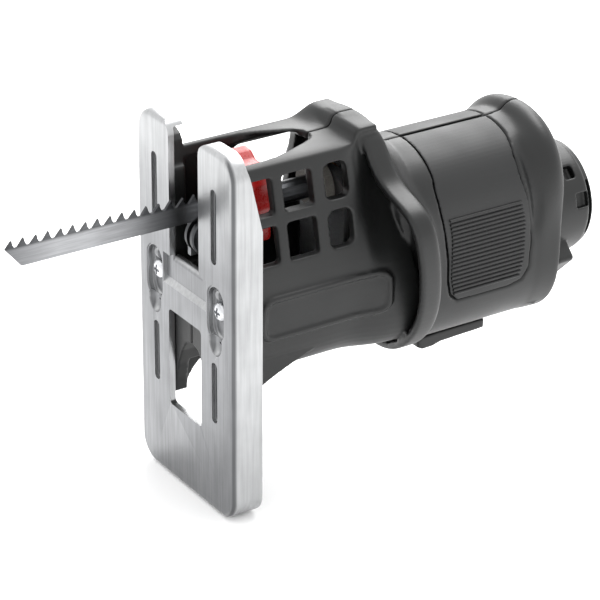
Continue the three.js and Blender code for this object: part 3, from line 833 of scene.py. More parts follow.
# ---------------------------------------------------------------- shoe
@dataclass
class DrawnShoe:
    """The pan drawn from 2 mm steel: two prongs round the blade, a sight window and pressed stiffening."""

    finishes: Finishes
    half_width: float = 27.0
    top: float = 51.5
    bottom: float = -66.4
    depth: float = 10.3
    sheet: float = 2.0
    corner: float = 7.5
    fold: float = 1.7
    slot_half: float = 8.3
    slot_floor: float = 8.7
    prong_round: float = 4.4
    window: tuple[float, float, float] = (9.3, -41.0, -8.8)
    screw_y: float = 17.4
    screw_z: float = 0.6
    dimple_half: float = 4.2
    dimple_low: float = -8.3
    dimple_high: float = 8.7
    dimple_depth: float = 2.6
    dimple_wall: float = 1.2
    pip_radius: float = 1.9
    pip_z: float = 6.2
    screw_hole: float = 2.0
    head_depth: float = 2.1
    channel_depth: float = 1.3
    channel_half: float = 12.2
    lip_radius: float = 1.9
    groove_y: float = 16.7
    groove_half: float = 1.55
    groove_depth: float = 1.45
    groove_runs: tuple[Point2, ...] = ((16.0, 39.5), (-36.0, -16.0))
    # The wall narrows towards the prongs' ends: this is taken off its rear edge.
    relief: tuple[Point2, ...] = ((5.5, 60), (5.5, 47.7), (10.2, 28), (20, 28), (20, 60))

    def dimple(self, side: int, start: float, end: float, half: float, rim: float) -> Blank:
        """A long round-ended body round one screw, grown to the given half width.

        Args:
            side: -1 for the left, 1 for the right.
            start: where the body starts, from the sole.
            end: where it ends.
            half: half its width.
            rim: radius of its far edge.

        Returns:
            The closed body.
        """
        centre, spare = side * self.screw_y, half - self.dimple_half
        outline = rectangle(centre - half, centre + half, self.dimple_low - spare, self.dimple_high + spare)
        return prism(outline, Axis.X, start, end, corner=half * 0.98, far_rim=rim, segments=8)

    def run_out(self, side: int) -> Blank:
        """The smooth slope that a dimple's lower end runs out on.

        Args:
            side: -1 for the left, 1 for the right.

        Returns:
            The body to cut away.
        """
        ball = bmesh.new()
        bmesh.ops.create_uvsphere(ball, u_segments=32, v_segments=20, radius=1)
        place = Matrix.Translation((-0.5, side * self.screw_y, -9.0))
        return Blank(ball).place(place @ Matrix.Diagonal((2.6, 3.6, 4.4, 1)))

    def pip(self, side: int) -> Blank:
        """The small round-headed pin in a dimple's upper end.

        Args:
            side: -1 for the left, 1 for the right.

        Returns:
            The ball, half sunk in the dimple's floor.
        """
        ball = bmesh.new()
        bmesh.ops.create_uvsphere(ball, u_segments=20, v_segments=12, radius=self.pip_radius)
        middle = (self.dimple_depth - 0.3, side * self.screw_y, self.pip_z)
        bmesh.ops.translate(ball, vec=middle, verts=ball.verts)
        return Blank(ball)

    def groove(self, side: int, low: float, high: float) -> Blank:
        """A pressed groove along one prong.

        Args:
            side: -1 for the left, 1 for the right.
            low: the groove's lower end.
            high: its upper end.

        Returns:
            The body to cut away.
        """
        middle, half = side * self.groove_y, self.groove_half
        outline = rectangle(middle - half, middle + half, low, high)
        return prism(outline, Axis.X, -1.0, self.groove_depth, corner=half * 0.95, far_rim=0.35)

    def blade_slot(self) -> Blank:
        """The slot between the prongs, which flares round the inner corner of each prong's end.

        Returns:
            The body to cut away.
        """
        flare = [
            (self.slot_half + self.prong_round * (1 - math.cos(a)),
             self.top - self.prong_round * (1 - math.sin(a)))
            for a in quarter_turn()
        ]
        right = [(self.slot_half, self.slot_floor), *flare, (self.slot_half + self.prong_round, 70)]
        return prism(right + [(-y, z) for y, z in reversed(right)], Axis.X, -1, 20)

    def lip(self) -> Blank:
        """The edge under the slot, bent back in a round.

        Returns:
            The bar that takes the cut edge's place.
        """
        front, radius = self.channel_depth, self.lip_radius
        low = self.slot_floor - radius
        arc = [(front + radius * (1 - math.cos(a)), low + radius * math.sin(a)) for a in quarter_turn()]
        outline = [(front, 5.0), *arc, (3.4, self.slot_floor), (3.4, 5.0)]
        return prism(outline, Axis.Y, -self.slot_half, self.slot_half)

    def mesh(self) -> Blank:
        """The whole pan, with its bent edges round and its cut edges crisp.

        Returns:
            The pan in one piece.
        """
        outline = rectangle(-self.half_width, self.half_width, self.bottom, self.top)
        pan = prism(outline, Axis.X, 0, self.depth, corner=self.corner, rim=self.fold, segments=10)
        inner = self.half_width - self.sheet
        room = rectangle(-inner, inner, self.bottom + self.sheet, self.top - self.sheet)
        inner_corner = self.corner - self.sheet
        pan.cut(prism(room, Axis.X, self.sheet, self.depth + 5, corner=inner_corner, rim=0.6, segments=8))
        cup_half, cup_end = self.dimple_half + self.dimple_wall, self.dimple_depth + 1.6
        pan.join(*(self.dimple(side, 1.0, cup_end, cup_half, 0.8) for side in (-1, 1)))
        half, low, high = self.window
        bed, ledge = self.channel_depth, self.slot_floor + 0.2
        channel = [(-1, -1.0), (0, -1.0), (bed, 0.8), (bed, ledge), (-1, ledge)]
        edge = self.slot_floor - self.lip_radius
        pan.cut(
            self.blade_slot(),
            prism(rectangle(-half, half, low, high), Axis.X, -1, self.sheet + 1, corner=1.4),
            prism(self.relief, Axis.Y, -40, 40),
            prism(channel, Axis.Y, -self.channel_half, self.channel_half),
            block((-1, -self.slot_half, edge), (self.sheet + 0.5, self.slot_half, 12)),
            *(self.dimple(side, -1.0, self.dimple_depth, self.dimple_half, 1.0) for side in (-1, 1)),
            *(self.dimple(side, -1.0, 0.4, self.dimple_half + 0.5, 0.3) for side in (-1, 1)),
            *(self.run_out(side) for side in (-1, 1)),
            *(self.groove(side, low, high) for side in (-1, 1) for low, high in self.groove_runs),
            *(rod(Axis.X, self.screw_hole, -1, 6, side * self.screw_y, self.screw_z) for side in (-1, 1)),
        )
        pan.join(self.lip(), *(self.pip(side) for side in (-1, 1)))
        return pan.modify(
            "BEVEL", width=0.16, segments=2, limit_method="ANGLE", angle_limit=math.radians(40),
            affect="EDGES", use_clamp_overlap=True,
        )

    def build(self) -> None:
        """Makes the shoe and its two screws."""
        finish_piece(self.mesh(), Fitting("drawn_shoe", "housing", "shoe", ("shoe",)), self.finishes.shoe, 32)
        for side, word in ((-1, "left"), (1, "right")):
            crown = self.dimple_depth - self.head_depth
            screw = pan_head_screw(3.0, 1.7, 10.5).place(
                Matrix.Translation((crown, side * self.screw_y, self.screw_z))
            )
            fitting = Fitting(f"shoe_pan_screw_{word}", "housing", "screw", (f"shoe_screw_{word}",))
            finish_piece(screw, fitting, self.finishes.screw, 32)


def pan_head_screw(head: float, shank: float, length: float) -> Blank:
    """A cross-recess pan-head screw that points along +X from its head's crown.

    Args:
        head: radius of the head.
        shank: radius of the shank.
        length: from the crown to the tip.

    Returns:
        The screw.
    """
    dome = [(0.0, 0.0), (0.04, head * 0.3), (0.2, head * 0.6), (0.6, head * 0.86), (1.1, head * 0.98),
            (1.6, head), (1.95, head * 0.97), (2.0, shank), (length - 1.2, shank), (length, 0.0)]
    screw = turned(dome, 0, 0, 40, closed=False)
    arm = head * 0.52
    return screw.cut(
        block((-0.5, -0.42, -arm), (1.2, 0.42, arm), 0.12, 1),
        block((-0.5, -arm, -0.42), (1.2, arm, 0.42), 0.12, 1),
    )


# ---------------------------------------------------------------- housing
@dataclass
class HousingShape:
    """The outline tables of the housing, all in millimetres from the sole and the drive axis."""

    nose: tuple[Point2, ...] = (
        (0, 42), (8.6, 42), (12.6, 41.9), (14.1, 41.2), (14.8, 39.2), (17.5, 28), (20.5, 15), (21.9, 5),
        (21.9, -8), (19.8, -17.6), (13.8, -24.7), (6, -26.5), (0, -26.7),
    )
    collar: tuple[Point2, ...] = (
        (0, 46.2), (5, 46.0), (10, 44.9), (14.5, 41.4), (15.9, 36), (18.8, 30.6), (23.6, 27.5), (29.6, 25.5),
        (34.1, 22.7), (36.4, 17.6), (36.75, 11.2), (35.9, 3.2), (33.5, -6.4), (29.7, -14.8), (24.3, -22.6),
        (17.1, -29.4), (8.8, -34.4), (0, -35.9),
    )
    collar_front: float = 61.6
    collar_lean: float = 0.19
    nose_stations: tuple[float, ...] = (
        -2, 3, 14, 26, 38, 43, 46, 48.5, 50.2, 50.9, 51.6, 52.3, 54, 57, 60, 66, 74,
    )
    nose_middle: float = 8.0
    collar_middle: float = 3.0
    grip_half_width: float = 22.3
    grip_half_height: float = 33.6
    squareness: float = 0.7
    grip_end: float = 124.0
    skirt_end: tuple[Point2, ...] = (
        (-34, 76.5), (-25, 77.6), (-13, 78), (-8, 79.4), (-1, 79.2), (7, 77.6), (16, 75.2),
        (22, 72.6), (27, 71.2), (31, 71), (34, 73),
    )
    insert_edge: tuple[Point2, ...] = (
        (77, 44), (77, 26), (76.4, 22), (77.2, 16), (79, 8), (80.4, 0), (80.7, -8), (81.6, -12.6),
        (84.6, -15.4), (104, -15.6), (109.2, -14.4), (111.7, -10.5), (112.2, -2), (111.6, 6),
        (110, 14), (108, 20), (107.6, 26), (108.9, 31), (109.2, 44),
    )

    def nose_ring(self, x: float, inset: float = 0.0) -> list[Point3]:
        """The nose's section at a distance from the sole, shrunk by an inset.

        Args:
            x: the distance from the sole.
            inset: how far the section is shrunk.

        Returns:
            The ring's points.
        """
        flare = ease(44, 65, x)
        ring = []
        for y, z in both_sides(self.nose):
            # The right half climbs to the collar on a long ramp, and the left half in one step.
            rise = 3.9 * ease(50.4, 52.1, x) if y < 1 else 3.5 * ease(45, 54, x)
            # Low down the flanks flare towards the collar, and higher up they draw in before it.
            low, leaning = 1 - ease(2, 12, z), x + self.collar_lean * z
            waist = ease(53.5, 61, leaning) * ease(4, 14, z) * (1 - ease(39.5, 41.5, z))
            y *= (1 + 0.14 * flare * low) * (1 - 0.21 * waist)
            z = z * (1.05 + 0.07 * flare) if z < 0 else z + rise * ease(34, 41, z)
            reach = math.hypot(y, z - self.nose_middle)
            shrink = max(0.0, (reach - inset) / reach)
            ring.append((x, y * shrink, self.nose_middle + (z - self.nose_middle) * shrink))
        return ring

    def nose_bar(self, inset: float = 0.0) -> Blank:
        """The nose as a solid bar, shrunk by an inset."""
        return loft([self.nose_ring(x, inset) for x in self.nose_stations])

    def collar_ring(self, offset: float, scale: float) -> list[Point3]:
        """The collar's outline in its leaning plane, moved back and scaled about its middle.

        Args:
            offset: how far it is moved back.
            scale: its scale.

        Returns:
            The ring's points.
        """
        front, middle = self.collar_front + offset, self.collar_middle
        return [
            (front - self.collar_lean * z, y * scale, middle + (z - middle) * scale)
            for y, z in both_sides(self.collar)
        ]

    def leaning(self) -> Matrix:
        """Carries X = 0 onto the collar's front plane.

        Returns:
            The shear and the shift in one matrix.
        """
        turn = Matrix.Identity(4)
        turn[0][2], turn[0][3] = -self.collar_lean, self.collar_front
        return turn

    def behind_collar(self, offset: float) -> Blank:
        """Everything behind the collar's front plane moved back by an offset."""
        return block((offset, -90, -90), (90, 90, 90)).place(self.leaning())

    def before_collar(self, offset: float) -> Blank:
        """Everything in front of the collar's front plane moved back by an offset."""
        return block((-90, -90, -90), (offset, 90, 90)).place(self.leaning())

    def grip_point(self, angle: float, extra: float = 0.0, bump: float = 0.0) -> Point2:
        """A point of the grip's stadium section.

        Args:
            angle: from straight up, positive to the right.
            extra: how far the section is grown.
            bump: how far the rear band stands out at the top.

        Returns:
            Its y and z.
        """
        straight = self.grip_half_height - self.grip_half_width
        y, z = math.sin(angle), math.cos(angle)
        radius = self.grip_half_width
        side = radius / max(abs(y), 1e-6)
        if side * abs(z) <= straight:
            reach = side
        else:
            middle = straight * math.copysign(1, z)
            along = middle * z
            reach = along + math.sqrt(max(0.0, radius**2 - middle**2 * y * y))
        local = math.atan2(abs(y) * reach, max(0.0, abs(z) * reach - straight))
        reach += extra + bump * ease(-4, 22, reach * z) + self.squareness * math.sin(2 * local) ** 2
        return y * reach, z * reach

    def grip_ring(self, x: float, extra: float = 0.0, bump: float = 0.0, count: int = 36) -> list[Point3]:
        """The grip's section at a distance from the sole."""
        angles = [math.tau * i / count for i in range(count)]
        return [(x, *self.grip_point(angle, extra, bump)) for angle in angles]

    def grip_body(self, extra: float = 0.0) -> Blank:
        """The plain grip bar, grown by a margin, longer than the grip itself."""
        return loft([self.grip_ring(x, extra) for x in (50, 70, 90, 110, 130)])


class SideHalf(Enum):
    """The two halves of the housing, by the side they are on."""

    LEFT = -1
    RIGHT = 1


@dataclass
class Housing:
    """The two half shells: a grilled nose, a guard collar, a grip and a foot behind the shoe."""

    finishes: Finishes
    shape: HousingShape = field(default_factory=HousingShape)
    wall: float = 2.5
    parting: float = 0.12
    edge_mm: float = 0.5
    recess: float = 5.2
    # Each pair is a depth behind the collar's front plane and the scale of its outline there.
    rim_steps: tuple[Point2, ...] = (
        (0.3, 0.9), (0.0, 0.95), (0.0, 0.982), (0.5, 0.999), (1.2, 1.0), (3.4, 1.0), (5.8, 1.0),
        (7.0, 0.994), (7.8, 0.968),
    )
    mouth_steps: tuple[Point2, ...] = ((5.2, 0.93), (7.2, 0.87), (9.2, 0.8), (11.0, 0.72))
    # Each pair is the share of the way back to the skirt's end and the share of the way in to the grip.
    skirt_steps: tuple[Point2, ...] = ((0.2, 0.45), (0.46, 0.8), (0.78, 0.965), (1.05, 1.01))
    foot_front: float = 2.3
    foot_rear: float = 6.5
    foot_half: float = 24.4
    foot_low: float = -38.0
    foot_top: float = 47.2
    # The rows and columns of panes: low and high, and for a column also its corner radius.
    pane_rows: tuple[Point2, ...] = ((12.6, 23.8), (27.0, 37.7))
    pane_columns: tuple[Point3, ...] = ((8.5, 20.6, 0.9), (24.2, 34.4, 0.9), (38.5, 46.8, 2.4))
    screws: tuple[Point2, ...] = ((24, -9), (52, -17), (76, -24), (118.5, 24), (118.5, -24))

    def nose(self) -> Blank:
        """The tapering nose, with its raised side panels, cut off inside the collar.

        Returns:
            The solid nose.
        """
        shape = self.shape
        bar = shape.nose_bar().join(*(self.side_panel(side) for side in SideHalf))
        return bar.cut(shape.behind_collar(6.0))

    def collar(self) -> Blank:
        """The leaning guard collar: a deep rim in front, and a hollow curve behind that runs out.

        Returns:
            The solid collar with its recess.
        """
        shape = self.shape
        rings = [shape.collar_ring(offset, scale) for offset, scale in self.rim_steps]
        rim = rings[-1]
        for travel, share in self.skirt_steps:
            skirt = []
            for x0, y0, z0 in rim:
                y1, z1 = shape.grip_point(math.atan2(y0, z0), -0.3)
                end = between(shape.skirt_end, z1)
                skirt.append((x0 + (end - x0) * travel, y0 + (y1 - y0) * share, z0 + (z1 - z0) * share))
            rings.append(skirt)
        solid = loft(rings)
        for depth, scale in self.mouth_steps:
            mouth = prism([(y, z) for _, y, z in shape.collar_ring(0, scale)], Axis.X, -3, depth)
            solid.cut(mouth.place(shape.leaning()))
        return solid

    def grip(self) -> Blank:
        """The grip, with the raised band at its rear.

        Returns:
            The solid grip.
        """
        ring = self.shape.grip_ring
        bar = loft([
            ring(60), ring(72), ring(90), ring(105), self.cove_ring(111.0, 0), self.cove_ring(112.9, 2.3),
            self.cove_ring(114.9, 0.2), ring(116.0, 0.2, 1.6), ring(118.2, 0.3, 2.7), ring(120.6, 0.4, 2.7),
            ring(122.6, 0.5, 1.7), ring(123.5, 0.4, 0.9), ring(124.0, -0.2, 0), ring(124.0, -5, 0),
        ])
        return bar.cut(self.shape.before_collar(self.recess))

    def cove_ring(self, x: float, depth: float) -> list[Point3]:
        """A section of the grip with a hollow of some depth high on each side, where it leans forward.

        Args:
            x: the distance from the sole.
            depth: how deep the hollow is.

        Returns:
            The ring's points.
        """
        ring = []
        for _, y, z in self.shape.grip_ring(x, 0, 0.5 * ease(111, 115, x)):
            share = ease(-2, 8, z) * (1 - ease(24, 31, z))
            inward = 1 - depth * share / math.hypot(y, z)
            forward = 0.14 * (z - 14) * ease(-2, 8, z) * (1 - ease(30, 34, z))
            ring.append((x - forward, y * inward, z * inward))
        return ring

    def foot(self) -> list[Blank]:
        """The plate the shoe is screwed to, and a bowed leg on each side of the window.

        Returns:
            The plate, the legs and the webs above them.
        """
        outline = rectangle(-self.foot_half, self.foot_half, self.foot_low, self.foot_top)
        plate = prism(outline, Axis.X, self.foot_front, self.foot_rear, corner=4)
        leg = [(2.5, -38), (6.4, -38), (7.5, -34.6), (9.9, -31.2), (13.4, -28.4), (18, -26), (24, -23.4),
               (34, -19.6), (34, -10), (2.5, -10)]
        legs = [prism(leg, Axis.Y, *sorted((side * 10.5, side * 18.6))) for side in (-1, 1)]
        fillet = [(6.4, 8), (6.4, 40), (8, 38), (10, 30), (12, 20), (13, 8)]
        webs = [prism(fillet, Axis.Y, *sorted((side * 12.5, side * 20.5))) for side in (-1, 1)]
        return [plate, *legs, *webs]

    def side_panel(self, side: SideHalf) -> Blank:
        """The round-ended panel along one flank of the nose, framed by a bead.

        Args:
            side: which half of the housing.

        Returns:
            The panel, sunk into the flank.
        """
        outline = rectangle(13, 58.4, -11.4, 3.1)
        reach = sorted((side.value * 12, side.value * 40))
        field = prism(rectangle(14.5, 56.9, -9.9, 1.6), Axis.Y, *reach, corner=2.9)
        panel = prism(outline, Axis.Y, *reach, corner=4.2).common(self.shape.nose_bar(-1.3))
        return panel.cut(field.cut(self.shape.nose_bar(-0.3)))

    def panes(self) -> list[Blank]:
        """The grille: six panes in the left flank, and two long windows in the right.

        Returns:
            The bodies to cut away.
        """
        cuts = []
        (window_start, _, _), (_, window_end, window_corner) = self.pane_columns[1:]
        for z0, z1 in self.pane_rows:
            for x0, x1, rounding in self.pane_columns:
                cuts.append(prism(rectangle(x0, x1, z0, z1), Axis.Y, -30, 0, corner=rounding))
            window = rectangle(window_start, window_end, z0, z1)
            cuts.append(prism(window, Axis.Y, 0, 30, corner=window_corner))
        return cuts

    def openings(self) -> list[Blank]:
        """The blade slot, the access to the clamp and the arch over the sight window.

        Returns:
            The bodies to cut away.
        """
        access = [(0, 10.9), (18, 10.9), (25, 10.2), (30, 8.6), (34, 7.0), (38, 5.4), (41, 3.9), (42.6, 2),
                  (43, 0)]
        outline = access + [(x, -y) for x, y in reversed(access) if y > 0]
        slot = both_sides([(0, 60), (16, 60), (15.6, 47.3), (12, 45.6), (10.2, 43.2), (9.6, 40), (9.6, 4.6),
                           (0, 4.6)])
        arch = both_sides([(0, -17.4), (3.4, -18.6), (6, -22.4), (8.4, -28), (9.8, -34), (10.3, -45),
                           (0, -45)])
        return [
            prism(slot, Axis.X, 0, 12),
            prism(outline, Axis.Z, 36, 60),
            prism(arch, Axis.X, 0, 15),
        ]

    def hollow(self) -> list[Blank]:
        """The room inside.

        Returns:
            The bodies to cut away.
        """
        nose = both_sides([(0, 39.6), (9.6, 39.6), (11.2, 38), (17.5, 14.5), (18.9, 5), (18.9, -7.4),
                           (16.3, -14.8), (10.8, -19.6), (0, -21)])
        front = both_sides([(0, 39.6), (9.6, 39.6), (11.2, 38), (17.5, 14.5), (17.5, 9.7), (0, 9.7)])
        room = [(y, z) for _, y, z in self.shape.grip_ring(0, -self.wall)]
        web = self.recess + 3.0
        # The block under the roof is the groove that the lever's dome runs in.
        return [
            prism(nose, Axis.X, 16, 50),
            block((23, -9.6, 39), (42, 9.6, 41.0)),
            block((49, -9.6, -19.6), (62, 9.6, 38)),
            block((49, -15, -19.6), (82, 15, 5)),
            block((60, -12, -19.6), (82, 12, 27)),
            prism(front, Axis.X, 6.8, 17),
            prism(room, Axis.X, 55, self.shape.grip_end - self.wall).cut(self.shape.before_collar(web)),
            rod(Axis.X, 17.5, 120, 126, 0, 0, 64),
        ]

    def insert_pocket(self, side: SideHalf, margin: float) -> Blank:
        """The shallow bed of one soft insert, or with no margin the space the insert fills.

        Args:
            side: which half of the housing.
            margin: how far the outline is grown.

        Returns:
            The insert's outline, pulled through the whole side.
        """
        middle = (95, 5)
        outline = [
            tuple(value + margin * math.copysign(1, value - centre) for value, centre in zip(point, middle))
            for point in self.shape.insert_edge
        ]
        reach = sorted((side.value * (0.55 - margin), side.value * 40))
        return prism(outline, Axis.Y, *reach)

    def wells(self) -> list[Blank]:
        """The screws' pilot holes and the wells that their heads sit in.

        Returns:
            The bodies to cut away.
        """
        cuts = []
        for x, z in self.screws:
            cuts.append(rod(Axis.Y, 1.6, -12, 16, x, z, 20))
            cuts.append(rod(Axis.Y, 3.4, 14, 60, x, z, 36))
        for side in (-1, 1):
            y = side * DrawnShoe.screw_y
            cuts.append(rod(Axis.X, DrawnShoe.screw_hole, 0, 12.3, y, DrawnShoe.screw_z, 24))
            cuts.append(prism(rectangle(y - 5.8, y + 5.8, -9.9, 10.3), Axis.X, 0, 5.3, corner=5.6))
        return cuts

    def body(self) -> Blank:
        """The whole housing in one piece, hollowed and pierced.

        Returns:
            The housing before it is split.
        """
        whole = self.nose().join(*self.foot(), self.collar(), self.grip())
        before_foot = block((-10, -40, -80), (self.foot_front, 40, 80))
        above_foot = block((0, -40, self.foot_top), (5.9, 40, 60))
        whole.cut(before_foot, above_foot)
        whole.cut(*self.hollow())
        whole.join(*(rod(Axis.Y, 3.6, -17, 17, x, z, 28) for x, z in self.screws))
        whole.cut(*self.openings(), *self.panes(), *self.wells())
        for side in SideHalf:
            bed = self.shape.grip_body(4.0).cut(self.shape.grip_body(-1.2))
            whole.cut(bed.common(self.insert_pocket(side, 0.3)))
        return whole

    def build(self) -> None:
        """Makes both half shells and the screws that hold them together."""
        whole = self.body()
        for side, word in ((SideHalf.LEFT, "left"), (SideHalf.RIGHT, "right")):
            half = whole.copy() if side is SideHalf.LEFT else whole
            y0, y1 = sorted((side.value * self.parting, side.value * 60))
            half.common(block((-10, y0, -80), (200, y1, 80)))
            half.mould(self.edge_mm, 3)
            fitting = Fitting(f"half_shell_{word}", "housing", "housing", (f"housing_{word}",))
            finish_piece(half, fitting, self.finishes.housing)
        for number, (x, z) in enumerate(self.screws, 1):
            screw = pan_head_screw(3.0, 1.3, 28.0)
            turn = Matrix.Translation((x, 17.3, z)) @ Matrix.Rotation(math.radians(-90), 4, "Z")
            screw.place(turn)
            fitting = Fitting(f"case_screw_{number}", "housing", "screw", (f"housing_screw_{number}",))
            finish_piece(screw, fitting, self.finishes.screw, 32)


@dataclass
class GripInserts:
    """The two soft inserts, with a field of fine ribs where the fingers close."""

    finishes: Finishes
    housing: Housing
    rib_top: float = 12.4
    rib_bottom: float = -12.6
    rib_count: int = 19
    rib_radius: float = 0.46
    edge_mm: float = 0.34

    def ribs(self, side: SideHalf) -> list[Blank]:
        """The ribs, each a thin bar laid along the surface.

        Args:
            side: which half of the housing.

        Returns:
            The bars.
        """
        shape = self.housing.shape
        pitch = (self.rib_top - self.rib_bottom) / (self.rib_count - 1)
        bars = []
        for i in range(self.rib_count):
            z = self.rib_top - i * pitch
            straight = shape.grip_half_height - shape.grip_half_width
            beyond = max(0.0, abs(z) - straight)
            y = side.value * math.sqrt(shape.grip_half_width**2 - beyond**2)
            front = 81.6 + 1.6 * ease(6, 16, -z) - 1.6 * ease(4, 16, z)
            rear = 109.4 - 2.4 * ease(4, 16, z) - 1.6 * ease(6, 14, -z)
            bars.append(rod(Axis.X, self.rib_radius, front, rear, y, z, 10))
        return bars

    def build(self) -> None:
        """Makes both inserts."""
        shape = self.housing.shape
        for side, word in ((SideHalf.LEFT, "left"), (SideHalf.RIGHT, "right")):
            skin = shape.grip_body(-0.05).cut(shape.grip_body(-0.9))
            skin.common(self.housing.insert_pocket(side, -0.15))
            skin.mould(self.edge_mm, 1).join(*self.ribs(side))
            fitting = Fitting(f"soft_insert_{word}", "housing", "grip", (f"grip_insert_{word}",))
            finish_piece(skin, fitting, self.finishes.grip, 50)


@dataclass
class Coupling:
    """The round plug at the rear, with its latch slots and its keyed rim, hollow for the driven spindle
    inside.
    """

    finishes: Finishes
    start: float = 119.0
    end: float = 140.5
    radius: float = 18.6
    bore: float = 15.0
    # Each slot of one third of the rim: its angle, where it starts and ends, and half its width.
    latch_slots: tuple[tuple[float, float, float, float], ...] = (
        (45, 131.0, 134.8, 2.1), (75, 133.2, 138.0, 2.4),
        (68, 138.5, 139.6, 3.8), (86, 138.5, 139.6, 3.8), (104, 138.5, 139.6, 3.8),
    )

    def mesh(self) -> Blank:
        """The plug, turned and then slotted.

        Returns:
            The plug in one piece.
        """
        r = self.radius
        profile = [
            (self.start, self.bore), (self.end, self.bore), (self.end, r - 1.9), (self.end - 0.3, r - 1.3),
            (self.end - 0.9, r - 0.9), (self.end - 2.4, r - 0.6), (self.end - 2.8, r - 0.1),
            (self.end - 3.6, r), (126.6, r), (126.0, r - 0.4), (125.7, r - 1.2), (124.3, r - 1.2),
            (124.3, r - 1.9),
            (121.2, r - 1.9), (121.2, r - 0.3), (self.start, r - 0.3),
        ]
        plug = turned(profile, 0, 0, 96)
        lug = block((124.3, -6.2, r - 3), (131.0, 6.2, r + 5.8), 1.2).cut(
            block((126.2, -1.2, r + 1.2), (133, 4.6, r + 4.6), 0.3, 1)
        )
        plug.join(lug.place(Matrix.Rotation(math.radians(135), 4, "X")))
        slots = []
        for third in (0, 120, 240):
            for degrees, x0, x1, half in self.latch_slots:
                slot = block((x0, -half, r - 2.5), (x1, half, r + 3), 0.2, 1)
                slots.append(slot.place(Matrix.Rotation(math.radians(degrees + third), 4, "X")))
        return plug.cut(*slots)

    def build(self) -> None:
        """Makes the plug."""
        blank = self.mesh().mould(0.36, 2)
        fitting = Fitting("coupling_plug_moulding", "housing", "housing", ("coupling_plug",))
        finish_piece(blank, fitting, self.finishes.housing)


@dataclass
class SwitchTongue:
    """The flat tongue under the grip, with a round nose."""

    finishes: Finishes

    def build(self) -> None:
        """Makes the tongue."""
        side = [(81, -35.6), (82, -34.3), (88, -33.9), (107, -33.9), (107, -37.2), (90, -37.7), (87, -38.5),
                (83, -38.6), (81.2, -37.6)]
        blank = prism(side, Axis.Y, -7, 7, rim=0.8, far_rim=0.8)
        blank.cut(block((92, -4.6, -38.6), (104.5, 4.6, -36.6), 0.4, 2)).mould(0.3, 2)
        fitting = Fitting("release_tongue", "housing", "tongue", ("switch_tongue",))
        finish_piece(blank, fitting, self.finishes.tongue)


# ---------------------------------------------------------------- working parts
@dataclass
class SawBlade:
    """A wood-cutting blade: milled teeth with alternate set, and a slanting tip."""

    finishes: Finishes
    back: float = 22.6
    tips: float = 31.0
    first_tip: float = -56.3
    pitch: float = 4.0
    teeth: int = 16
    half_thickness: float = 0.5
    tooth_set: float = 0.16

    def mesh(self) -> Blank:
        """The toothed strip, its teeth bent left and right in turn.

        Returns:
            The blade in one piece.
        """
        outline: list[Point2] = [(-53.4, self.back), (-58.3, 28.5)]
        for i in range(self.teeth):
            x = self.first_tip + self.pitch * i
            outline += [(x, self.tips), (x + 0.3, self.tips - 1.3), (x + 0.75, self.tips - 2.2),
                        (x + 1.3, self.tips - 2.55), (x + 2.0, self.tips - 2.4)]
        last = self.first_tip + self.pitch * self.teeth
        outline += [(last, self.tips - 0.4), (23.2, self.tips - 0.4), (23.2, self.back)]
        strip = prism(outline, Axis.Y, -self.half_thickness, self.half_thickness)
        for vertex in strip.thing.data.vertices:
            number = round((vertex.co.x - self.first_tip) / self.pitch)
            if vertex.co.z > self.tips - 1.2 and vertex.co.x < last - 1:
                vertex.co.y += self.tooth_set * (1 if number % 2 else -1)
        return strip.modify(
            "BEVEL", width=0.09, segments=1, limit_method="ANGLE", angle_limit=math.radians(50),
            affect="EDGES",
        )

    def build(self) -> None:
        """Makes the blade."""
        finish_piece(self.mesh(), Fitting("saw_blade", "blade", "blade", ("blade",)), self.finishes.blade, 30)


@dataclass
class ClampLever:
    """The red lever on the blade clamp: a sleeve, a thumb paddle and a skirt down its left side."""

    finishes: Finishes
    axis_z: float = 24.5
    front: float = 16.4
    rear: float = 25.4

    def build(self) -> None:
        """Makes the lever."""
        sleeve = rod(Axis.X, 9.5, self.front, self.rear, 0, self.axis_z, 64)
        paddle = [(-9.3, 15.2), (-6, 15.2), (-6, 28), (9, 28), (9, 35.4), (7.6, 38.6), (4.4, 40.6),
                  (1.6, 40.1), (-0.8, 38.2), (-4.4, 38.1), (-7.4, 36.4), (-9.1, 33)]
        sleeve.join(prism(paddle, Axis.X, self.front + 0.5, self.rear - 0.4, rim=1.6, far_rim=1.6))
        flutes = [rod(Axis.X, 0.55, self.front - 1, self.rear + 1, y, z, 12)
                  for y, z in ((-7.6, 37.2), (-5.2, 38.6), (-2.6, 38.9))]
        sleeve.cut(rod(Axis.X, 6.7, 10, 30, 0, self.axis_z, 64), *flutes)
        sleeve.mould(0.28, 2)
        fitting = Fitting("red_clamp_lever", "clamp_lever", "red", ("clamp_lever",))
        finish_piece(sleeve, fitting, self.finishes.red)


